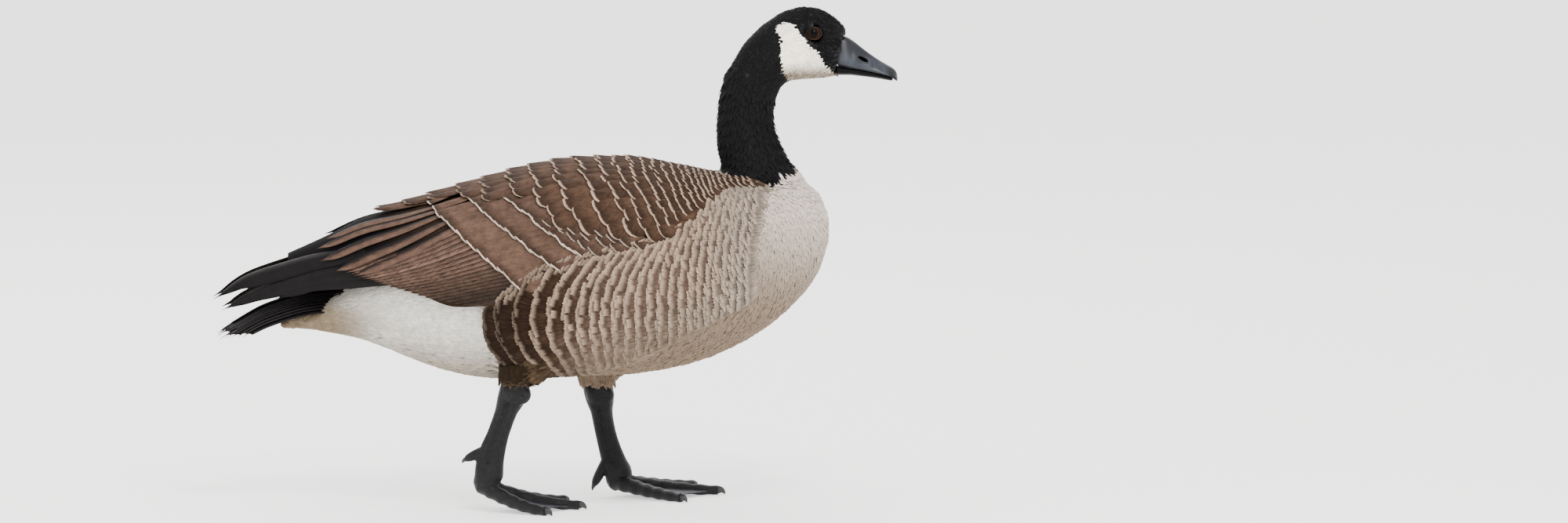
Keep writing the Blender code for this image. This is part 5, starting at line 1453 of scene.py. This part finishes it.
def bill_material(tone):
    """Horn of a bill: smooth keratin over bone, satin, with faint growth lines, a worn edge and a painted
    sheen along its sides.
    """
    paint, node = new_material("bill horn, keratin")
    space = node("TexCoord").outputs["Object"]
    where = node("SeparateXYZ", {"Vector": space}).outputs
    cloud = node("TexNoise", {"Vector": space, "Scale": 120.0, "Detail": 4.0})
    fine = node("TexNoise", {"Vector": space, "Scale": 900.0, "Detail": 3.0})
    # A painted sheen runs as a paler, bluish band above the mouth line, which falls towards the tip
    slope = node("Math", {0: where["X"], 1: 0.245, 2: where["Z"]}, operation="MULTIPLY_ADD")
    low = node("MapRange", span(slope, 0.508, 0.511), **EASED)
    high = node("MapRange", span(slope, 0.515, 0.527, 1.0, 0.15), **EASED)
    tip = node("MapRange", span(where["X"], 0.326, 0.334, 1.0, 0.0), **EASED)
    horny = node("Math", {0: low, 1: tip}, operation="MULTIPLY")
    side = node("Math", {0: horny, 1: high}, operation="MULTIPLY")
    side = node("Math", {0: side, 1: cloud}, operation="MULTIPLY")
    side = node("Math", {0: side, 1: 1.7}, operation="MULTIPLY", use_clamp=True)
    base = node("Mix", blend(horny, tone["bill_dark"], tone["bill"]), **IN_COLOUR)
    horn = node("Mix", blend(side, base, tone["bill_light"]), **IN_COLOUR)
    # The nostril's opening, a slit that slopes down forwards, painted nearly black and without gloss as the
    # shade in its hollow
    slit = (1 / (0.86 * NOSTRIL_SIZE[0]), 0, 1 / (0.66 * NOSTRIL_SIZE[1]))
    place = node("Mapping", {"Vector": space, "Location": (-NOSTRIL[0], 0, -NOSTRIL[1])})
    place = node("Mapping", {"Vector": place, "Rotation": (0, -NOSTRIL_DIP, 0)})
    place = node("VectorMath", {0: place, 1: slit}, operation="MULTIPLY")
    gap = node("VectorMath", {0: place}, operation="LENGTH")
    nostril_shade = node("MapRange", span(gap, 0.75, 1.15), **EASED)
    horn = node("Mix", blend(nostril_shade, NEARLY_BLACK, horn), **IN_COLOUR)
    bump = node("Bump", {"Height": fine, "Strength": 0.35, "Distance": 0.0003})
    rough = node("MapRange", span(cloud, 0, 1, 0.26, 0.46))
    gloss = node("MapRange", span(low, 0, 1, 0.05, 0.24))
    gloss = node("Math", {0: gloss, 1: nostril_shade}, operation="MULTIPLY")
    look = {"Base Color": horn, "Roughness": rough, "Normal": bump, "Specular IOR Level": gloss}
    node("OutputMaterial", {"Surface": node("BsdfPrincipled", look)})
    return paint


def bill_part(name, x, out, up, paint):
    """A part of the bill: at each x, half a section's places out from the middle and up."""
    rings = []
    for place, across, height in zip(x, out, up):
        half = np.stack([np.full(len(across), place), across, height], 1)
        rings.append(np.concatenate([half, half[:0:-1] * (1, -1, 1)]))
    bill = lofted(name, rings, paint)
    modify(bill, ("SUBSURF", dict(levels=1, render_levels=1)))
    return bill


class GOOSE_OT_bill(bpy.types.Operator):
    """Shapes the upper and the lower bill with nostrils, nail and mouth line"""

    bl_idname = "goose.bill"
    bl_label = "Bill"

    def execute(self, context):
        paint = bill_material(colours_of(context.scene))
        x = np.concatenate([np.linspace(0.280, 0.332, 42), np.linspace(0.333, 0.340, 12)])
        mouth, ridge, half, ridge_half = read(UPPER_BILL, x)[:, :, None]
        wide, wide_ridge, high = np.array(UPPER_SECTION).T
        out, up = wide * half + wide_ridge * ridge_half, mouth + high * (ridge - mouth)
        bill = bill_part("upper_bill", x, out, up, paint)
        # Nostrils are hollows with a raised rim, and a groove sets off the nail
        places = rows_of(bill.data.vertices, "co", 3)
        ahead, up = places[:, 0] - NOSTRIL[0], places[:, 2] - NOSTRIL[1]
        along = ahead * math.cos(NOSTRIL_DIP) - up * math.sin(NOSTRIL_DIP)
        across = ahead * math.sin(NOSTRIL_DIP) + up * math.cos(NOSTRIL_DIP)
        gap = np.hypot(along / NOSTRIL_SIZE[0], across / NOSTRIL_SIZE[1])
        side = np.sign(places[:, 1]) * (np.abs(places[:, 1]) > 0.002)
        places[:, 1] -= side * 0.0034 * smooth(1.0, 0.45, gap)
        places[:, 1] += side * 0.0006 * smooth(1.9, 1.25, gap) * smooth(0.8, 1.2, gap)
        nail = np.hypot((places[:, 0] - 0.3395) / 0.0100, places[:, 1] / 0.0072)
        places[:, 2] -= 0.0005 * np.exp(-(((nail - 1) / 0.10) ** 2)) * (places[:, 2] > 0.4290)
        bill.data.vertices.foreach_set("co", places.ravel())
        bill.data.update()
        finish(bill, "bill_horn", "bill_upper")

        x = np.concatenate([np.linspace(0.278, 0.330, 30), np.linspace(0.331, 0.3352, 8)])
        under, mouth, half = read(LOWER_BILL, x)[:, :, None]
        wide, deep = np.array(LOWER_SECTION).T
        top = mouth - MOUTH_GAP
        bill = bill_part("lower_bill", x, wide * half, top - deep * (top - under), paint)
        finish(bill, "bill_horn", "bill_lower")
        return {"FINISHED"}


def eye_material(name, centre, tone):
    """Clear cornea over a dark brown iris and a black pupil: glossy and wet."""
    paint, node = new_material("wet eye " + name)
    space = node("TexCoord").outputs["Object"]
    place = node("Mapping", {"Vector": space, "Location": tuple(-c for c in centre)})
    gap = node("VectorMath", {0: place, 1: (1, 0, 1)}, operation="MULTIPLY")
    gap = node("VectorMath", {0: gap}, operation="LENGTH")
    fibre = node("TexNoise", {"Vector": place, "Scale": 900.0, "Detail": 3.0})
    iris = node("Mix", blend(fibre, tone["iris"], tone["iris"] * 1.9), **IN_COLOUR)
    pupil = node("MapRange", span(gap, 0.0036, 0.0041), **EASED)
    rim = node("MapRange", span(gap, 0.0056, 0.0066, 1.0, 0.0), **EASED)
    ring = node("Math", {0: pupil, 1: rim}, operation="MULTIPLY")
    tint = node("Mix", blend(ring, NEARLY_BLACK, iris), **IN_COLOUR)
    look = {"Base Color": tint, "Roughness": 0.06, "Specular IOR Level": 0.05}
    node("OutputMaterial", {"Surface": node("BsdfPrincipled", look)})
    return paint


def lid_material(name, tone):
    """Thin bare skin of the eye's rim, slightly moist."""
    paint, node = new_material("bare lid skin " + name)
    pores = node("TexNoise", {"Vector": node("TexCoord").outputs["Object"], "Scale": 1500.0})
    bump = node("Bump", {"Height": pores, "Strength": 0.4, "Distance": 0.0002})
    tint = node("Mix", blend(pores, tone["lid"] * 0.6, tone["lid"] * 1.2), **IN_COLOUR)
    look = {"Base Color": tint, "Roughness": 0.6, "Normal": bump, "Specular IOR Level": 0.08}
    node("OutputMaterial", {"Surface": node("BsdfPrincipled", look)})
    return paint


def lids(name, centre, side, paint):
    """The eye's bare rim, a thin ring that lies on the eyeball round its opening."""
    count, sides, thick, shift = 48, 10, 0.0008, 0.0004
    turn = np.linspace(0, 2 * math.pi, count, endpoint=False)[:, None, None]
    around = np.linspace(0, 2 * math.pi, sides, endpoint=False)[None, :, None]
    out = np.cos(turn) * (1, 0, 0) + np.sin(turn) * (0, 0, 1)
    opening = out * (EYE_OPENING[0], 0, EYE_OPENING[1])
    depth = np.sqrt(EYE_RADIUS**2 - dot(opening, opening))
    middle = np.array(centre) + opening + side * depth * SIDEWAYS + out * shift
    places = middle + thick * (np.cos(around) * out + np.sin(around) * side * SIDEWAYS)
    faces = grid_faces(count, sides, closed=True, ring=True)
    lid = add_piece("lids_" + name, places.reshape(-1, 3), faces, paint)
    edit_all(lid, bpy.ops.mesh.normals_make_consistent, inside=False)
    return lid


class GOOSE_OT_eyes(bpy.types.Operator):
    """Sets both eyes with their iris, pupil and lids"""

    bl_idname = "goose.eyes"
    bl_label = "Eyes"

    def execute(self, context):
        tone = colours_of(context.scene)
        for name, side in SIDES:
            centre = (EYE[0], side * EYE[1], EYE[2])
            bpy.ops.mesh.primitive_uv_sphere_add(
                segments=48, ring_count=32, radius=EYE_RADIUS, location=centre, rotation=(math.pi / 2, 0, 0)
            )
            bpy.ops.object.transform_apply(location=True, rotation=True, scale=True)
            eye = bpy.context.object
            eye.name = eye.data.name = "eyeball_" + name
            for vert in eye.data.vertices:
                vert.co.z = EYE[2] + (vert.co.z - EYE[2]) * EYE_FLATTENING
            eye.data.materials.append(eye_material(name, centre, tone))
            eye.data.shade_smooth()
            finish(eye, "eye", "eye_" + name)
            finish(lids(name, centre, side, lid_material(name, tone)), "eye")
        return {"FINISHED"}


def tube(name, stations, count, sides, across, swell=None, paint=()):
    """A closed tube through stations of x, y, z, half width across and half depth."""
    table = np.array(stations, float)
    gone = np.concatenate([[0], np.cumsum(np.linalg.norm(np.diff(table[:, :3], axis=0), axis=1))])
    share = np.linspace(0, 1, count)
    rows = read(np.column_stack([gone, table]), share * gone[-1]).T
    ahead = unit(np.gradient(rows[:, :3], axis=0))
    first = unit(across - ahead * dot(ahead, np.asarray(across, float)[None]))
    second = np.cross(ahead, first)
    turn = np.linspace(0, 2 * math.pi, sides, endpoint=False)
    width, depth = (rows[:, 3:] * (1 if swell is None else swell(share)[:, None])).T
    rings = (
        rows[:, None, :3]
        + first[:, None] * (width[:, None] * np.cos(turn))[..., None]
        + second[:, None] * (depth[:, None] * np.sin(turn))[..., None]
    )
    return lofted(name, list(rings), *paint)


def toe_path(joint, reach, side):
    """A toe's line from the joint down to the floor and along it, with its radii."""
    joint = joint + TOE_ROOT
    forward, out = reach[0] - TOE_ROOT[0], reach[1]
    share = np.linspace(0, 1, 8)
    radius = TOE_ROOT_RADIUS + (TOE_TIP_RADIUS - TOE_ROOT_RADIUS) * share
    low = radius - 0.0004
    height = low + (joint[2] - low) * (1 - share) ** 2
    return np.stack([joint[0] + forward * share, joint[1] + side * out * share, height, radius, radius], 1)


def knuckles(share):
    """A toe swells at its joints."""
    return 0.92 + 0.13 * np.cos(share * 2 * math.pi * 3) ** 2


def shank(line, joint, down):
    """A leg above its toes, as tubes to be fused."""
    # The bone in front and the tendon behind it stand out as two ridges
    tubes = []
    for ahead, back, wide, deep in ((0.34, 0.0, 0.96, 0.62), (-0.48, 0.004, 0.74, 0.48)):
        ridge = np.vstack([line, (*(joint + (0.002 - back, 0, -0.002)), 0.0085, 0.0095)])
        ridge[:, 0] += ahead * ridge[:, 4]
        ridge[:, 3:] *= (wide, deep)
        tubes.append(tube("ridge", ridge, 34, 20, SIDEWAYS))
    knee = line[1, :3] + (0.001, 0, -0.005)
    for shift, radius in ((0.0, 0.0134), (0.0055, 0.0098)):
        across_knee = [
            (*(knee + (shift, at * 0.0122, -0.3 * shift)), radius * scale, radius * scale)
            for at, scale in ((-1.0, 0.62), (-0.75, 0.92), (0.0, 1.0), (0.75, 0.92), (1.0, 0.62))
        ]
        tubes.append(tube("knee", across_knee, 9, 20, np.array([1.0, 0.0, 0.0])))
    end = line[-1, :3]
    ankle = (
        (*(end - down * 0.012), 0.0072, 0.0100),
        (*(end - down * 0.002), 0.0106, 0.0136),
        (*(joint + (-0.002, 0, -0.001)), 0.0110, 0.0134),
        (*(joint + (0.0015, 0, -0.0095)), 0.0078, 0.0088),
    )
    return tubes + [tube("ankle", ankle, 10, 20, SIDEWAYS)]


def along_toe(toe, share):
    at = np.linspace(0, 1, len(toe))
    return np.array([np.interp(share, at, toe[:, i]) for i in range(3)])


def web(first, second):
    """The skin between two toes, its front edge hollowed."""
    rings = []
    for share in np.linspace(0.02, 0.97, 18):
        row = []
        for s in np.linspace(0, 1, 9):
            hollow = share * (1 - 0.12 * (4 * s * (1 - s)) * share)
            left, right = along_toe(first, hollow), along_toe(second, hollow)
            row.append(left + (right - left) * s)
        row = np.array(row)
        rings.append(np.concatenate([row + (0, 0, 0.0001), (row - (0, 0, 0.0014))[::-1]]))
    return lofted("web", rings)


def web_share(places, toes, joint):
    """How far each place is web rather than toe or leg."""
    near = np.full(len(places), 1.0)
    for path in toes.values():
        for a, b in zip(path[:, :4], path[1:, :4]):
            step = b - a
            t = np.clip(((places - a[:3]) @ step[:3]) / (step[:3] @ step[:3]), 0, 1)
            gone = np.linalg.norm(places - a[:3] - t[:, None] * step[:3], axis=1)
            near = np.minimum(near, gone - 1.1 * (a[3] + step[3] * t))
    return smooth(0.0, 0.0014, near) * (places[:, 0] > joint[0] + 0.012) * (places[:, 2] < 0.022)


def claw(name, tip, way, sideways, radius, reach, paint):
    """A claw from inside its toe to its point, bent down and kept off the floor."""
    stations = []
    for share, scale in CLAW_STATIONS:
        out = max(share, 0)
        place = tip + way * reach * share * (1 - 0.25 * out)
        place = place + (0, 0, reach * (0.10 * share - 0.55 * out**2))
        stations.append((*place, radius * 0.75 * scale, radius * scale))
    piece = tube("nail_" + name, stations, 12, 10, sideways, paint=[paint])
    for vert in piece.data.vertices:
        vert.co.z = max(vert.co.z, CLAW_CLEARANCE)
    finish(piece, "claw_horn", "claw_" + name)


def leg_material(tone):
    """Scaled skin of a bird's leg: small horny plates with rubbed edges, slightly glossy."""
    paint, node = new_material("scaled leg skin")
    space = node("TexCoord").outputs["Object"]
    # Plates about 2 mm across, wider than they are high on the leg
    stretched = node("Mapping", {"Vector": space, "Scale": (1.0, 1.0, 2.0)})
    grid = {"Vector": stretched, "Scale": 420.0, "Randomness": 0.9}
    plates = node("TexVoronoi", grid, feature="DISTANCE_TO_EDGE")
    cells = node("TexVoronoi", grid).outputs["Color"]
    patch = node("TexNoise", {"Vector": space, "Scale": 90.0, "Detail": 4.0})
    height = node("MapRange", span(plates, 0, 0.16))
    web_fac = node("Attribute", attribute_name="web").outputs["Fac"]
    worn = node("Math", {0: height, 1: patch}, operation="MULTIPLY")
    tint = node("Math", {0: cells, 1: worn}, operation="MULTIPLY")
    scaled = node("Mix", blend(tint, tone["leg"], tone["leg_worn"]), **IN_COLOUR)
    skin = node("Mix", blend(web_fac, scaled, tone["web"]), **IN_COLOUR)
    flat = node("MapRange", span(web_fac, 0, 1, 0.9, 0.3))
    bump = node("Bump", {"Height": height, "Strength": flat, "Distance": 0.0003})
    look = {"Base Color": skin, "Roughness": 0.40, "Normal": bump, "Specular IOR Level": 0.20}
    node("OutputMaterial", {"Surface": node("BsdfPrincipled", look)})
    return paint


def claw_material(tone):
    """Dull black horn with fine lengthwise wear."""
    paint, node = new_material("claw horn")
    wear = node("TexNoise", {"Vector": node("TexCoord").outputs["Object"], "Scale": 700.0, "Detail": 3.0})
    tint = node("Mix", blend(wear, tone["claw"], tone["leg_worn"]), **IN_COLOUR)
    node("OutputMaterial", {"Surface": node("BsdfPrincipled", {"Base Color": tint, "Roughness": 0.4})})
    return paint


class GOOSE_OT_legs(bpy.types.Operator):
    """Grows both legs with webbed feet, scaled skin and claws"""

    bl_idname = "goose.legs"
    bl_label = "Legs and feet"

    def execute(self, context):
        scene, tone = context.scene, colours_of(context.scene)
        skin_paint, claw_paint = leg_material(tone), claw_material(tone)
        for name, side, leg in (("left", 1, LEFT_LEG), ("right", -1, RIGHT_LEG)):
            line = np.array(leg)
            end = line[-1, :3]
            down = unit(end - line[-2, :3])
            joint = end + down * 0.0063
            pieces = shank(line, joint, down)
            toes = {key: toe_path(joint, reach, side) for key, reach in TOE_SPREAD[name].items()}
            claws = []
            for key, path in toes.items():
                forward, out = TOE_SPREAD[name][key]
                sideways = unit(np.array([-side * out, forward, 0.0]))
                pieces.append(tube("toe", path, 40, 14, sideways, knuckles))
                tip = path[-1, :3] + (0, 0, 0.0006)
                claws.append((key, tip, unit(tip - path[-2, :3]), sideways, TOE_TIP_RADIUS * 0.85, 0.0095))
            pieces += [web(toes["inner"], toes["middle"]), web(toes["middle"], toes["outer"])]
            forward, out, rise = HALLUX_ROOT[name]
            back, fall = HALLUX_REACH[name]
            root, step = end + (forward, side * out, rise), np.array([-back, -side * 0.002, -fall])
            hind = [(*(root + step * share), radius, radius) for share, radius in HALLUX_STATIONS]
            pieces.append(tube("hallux", hind, 16, 12, SIDEWAYS))
            claws.append(("hind", root + step, unit(step), SIDEWAYS, 0.0023, 0.0048))

            foot = joined("leg_and_foot_" + name, pieces)
            modify(
                foot,
                ("REMESH", dict(mode="VOXEL", voxel_size=scene.goose_sizes.leg_voxel)),
                ("SMOOTH", dict(factor=0.5, iterations=3)),
            )
            places = rows_of(foot.data.vertices, "co", 3)
            places[:, 2] = np.maximum(places[:, 2], 0.0)
            foot.data.vertices.foreach_set("co", places.ravel())
            add_attribute(foot, "web", web_share(places, toes, joint))
            foot.data.materials.append(skin_paint)
            foot.data.shade_smooth()
            finish(foot, "leg_skin", "leg_" + name, "foot_" + name)
            for key, *shape in claws:
                claw(f"{name}_{key}", *shape, claw_paint)
        return {"FINISHED"}


class GOOSE_OT_stage(bpy.types.Operator):
    """Sets the pale floor, the soft lights and the camera"""

    bl_idname = "goose.stage"
    bl_label = "Stage"

    def execute(self, context):
        scene, stage = context.scene, context.scene.goose_stage
        bpy.ops.mesh.primitive_plane_add(size=stage.floor_size)
        floor = bpy.context.object
        floor.name = "floor"
        # Matt painted boards, evenly pale, so that only soft shadows show
        paint, node = new_material("matt studio paint")
        grain = node("TexNoise", {"Vector": node("TexCoord").outputs["Object"], "Scale": 60.0})
        bump = node("Bump", {"Height": grain, "Strength": 0.05, "Distance": 0.0005})
        look = {"Base Color": (*scene.goose_colours.floor, 1), "Roughness": 0.9, "Normal": bump}
        look |= {"Emission Color": (1, 1, 1, 1), "Emission Strength": 0.7}
        node("OutputMaterial", {"Surface": node("BsdfPrincipled", look)})
        floor.data.materials.append(paint)

        world = bpy.data.worlds.new("studio")
        world.use_nodes = True
        back = world.node_tree.nodes["Background"]
        back.inputs["Color"].default_value = (1, 1, 1, 1)
        back.inputs["Strength"].default_value = 2.1
        scene.world = world
        lights = (
            ("key", (0.5, -2.2, 3.0), 0.9, 75),
            ("fill", (-2.4, -1.6, 1.6), 2.4, 12),
            ("back", (-0.8, 2.4, 2.4), 1.4, 40),
            ("spark", (0.75, -2.6, 2.1), 0.16, 22),
        )
        for name, place, size, power in lights:
            lamp = bpy.data.lights.new(name, "AREA")
            lamp.shape, lamp.size, lamp.energy = "DISK", size, power
            light = bpy.data.objects.new(name, lamp)
            light.location = place
            light.rotation_euler = (Vector((0, 0, 0.25)) - Vector(place)).to_track_quat("-Z", "Y").to_euler()
            scene.collection.objects.link(light)

        data = bpy.data.cameras.new("camera")
        data.lens, data.sensor_width, data.clip_end = stage.lens, 36, 60
        camera = bpy.data.objects.new("camera", data)
        away = stage.frame_width * stage.lens / data.sensor_width
        rise = stage.aim_height + away * math.sin(stage.elevation)
        camera.location = place = Vector((0.0, -away * math.cos(stage.elevation), rise))
        target = Vector((stage.bird_left, 0, stage.aim_height))
        camera.rotation_euler = (target - place).to_track_quat("-Z", "Y").to_euler()
        scene.collection.objects.link(camera)
        scene.camera = camera
        return {"FINISHED"}


OPERATORS = (
    GOOSE_OT_skin,
    GOOSE_OT_head,
    GOOSE_OT_body,
    GOOSE_OT_flanks,
    GOOSE_OT_back,
    GOOSE_OT_wings,
    GOOSE_OT_primaries,
    GOOSE_OT_tail,
    GOOSE_OT_bill,
    GOOSE_OT_eyes,
    GOOSE_OT_legs,
    GOOSE_OT_stage,
)


class GOOSE_PT_panel(bpy.types.Panel):
    bl_idname = "GOOSE_PT_panel"
    bl_label = "Canada Goose"
    bl_space_type = "VIEW_3D"
    bl_region_type = "UI"
    bl_category = "Goose"

    def draw(self, context):
        for operator in OPERATORS:
            self.layout.operator(operator.bl_idname)
        for group in (context.scene.goose_sizes, context.scene.goose_colours, context.scene.goose_stage):
            for key in group.__annotations__:
                self.layout.prop(group, key)


CLASSES = (GooseSizes, GooseColours, GooseStage, *OPERATORS, GOOSE_PT_panel)


def register():
    for item in CLASSES:
        bpy.utils.register_class(item)
    bpy.types.Scene.goose_sizes = PointerProperty(type=GooseSizes)
    bpy.types.Scene.goose_colours = PointerProperty(type=GooseColours)
    bpy.types.Scene.goose_stage = PointerProperty(type=GooseStage)


def unregister():
    for key in ("goose_sizes", "goose_colours", "goose_stage"):
        delattr(bpy.types.Scene, key)
    for item in reversed(CLASSES):
        bpy.utils.unregister_class(item)


def main():
    register()
    for operator in OPERATORS:
        getattr(bpy.ops.goose, operator.bl_idname.split(".")[1])()


if __name__ == "__main__":
    main()
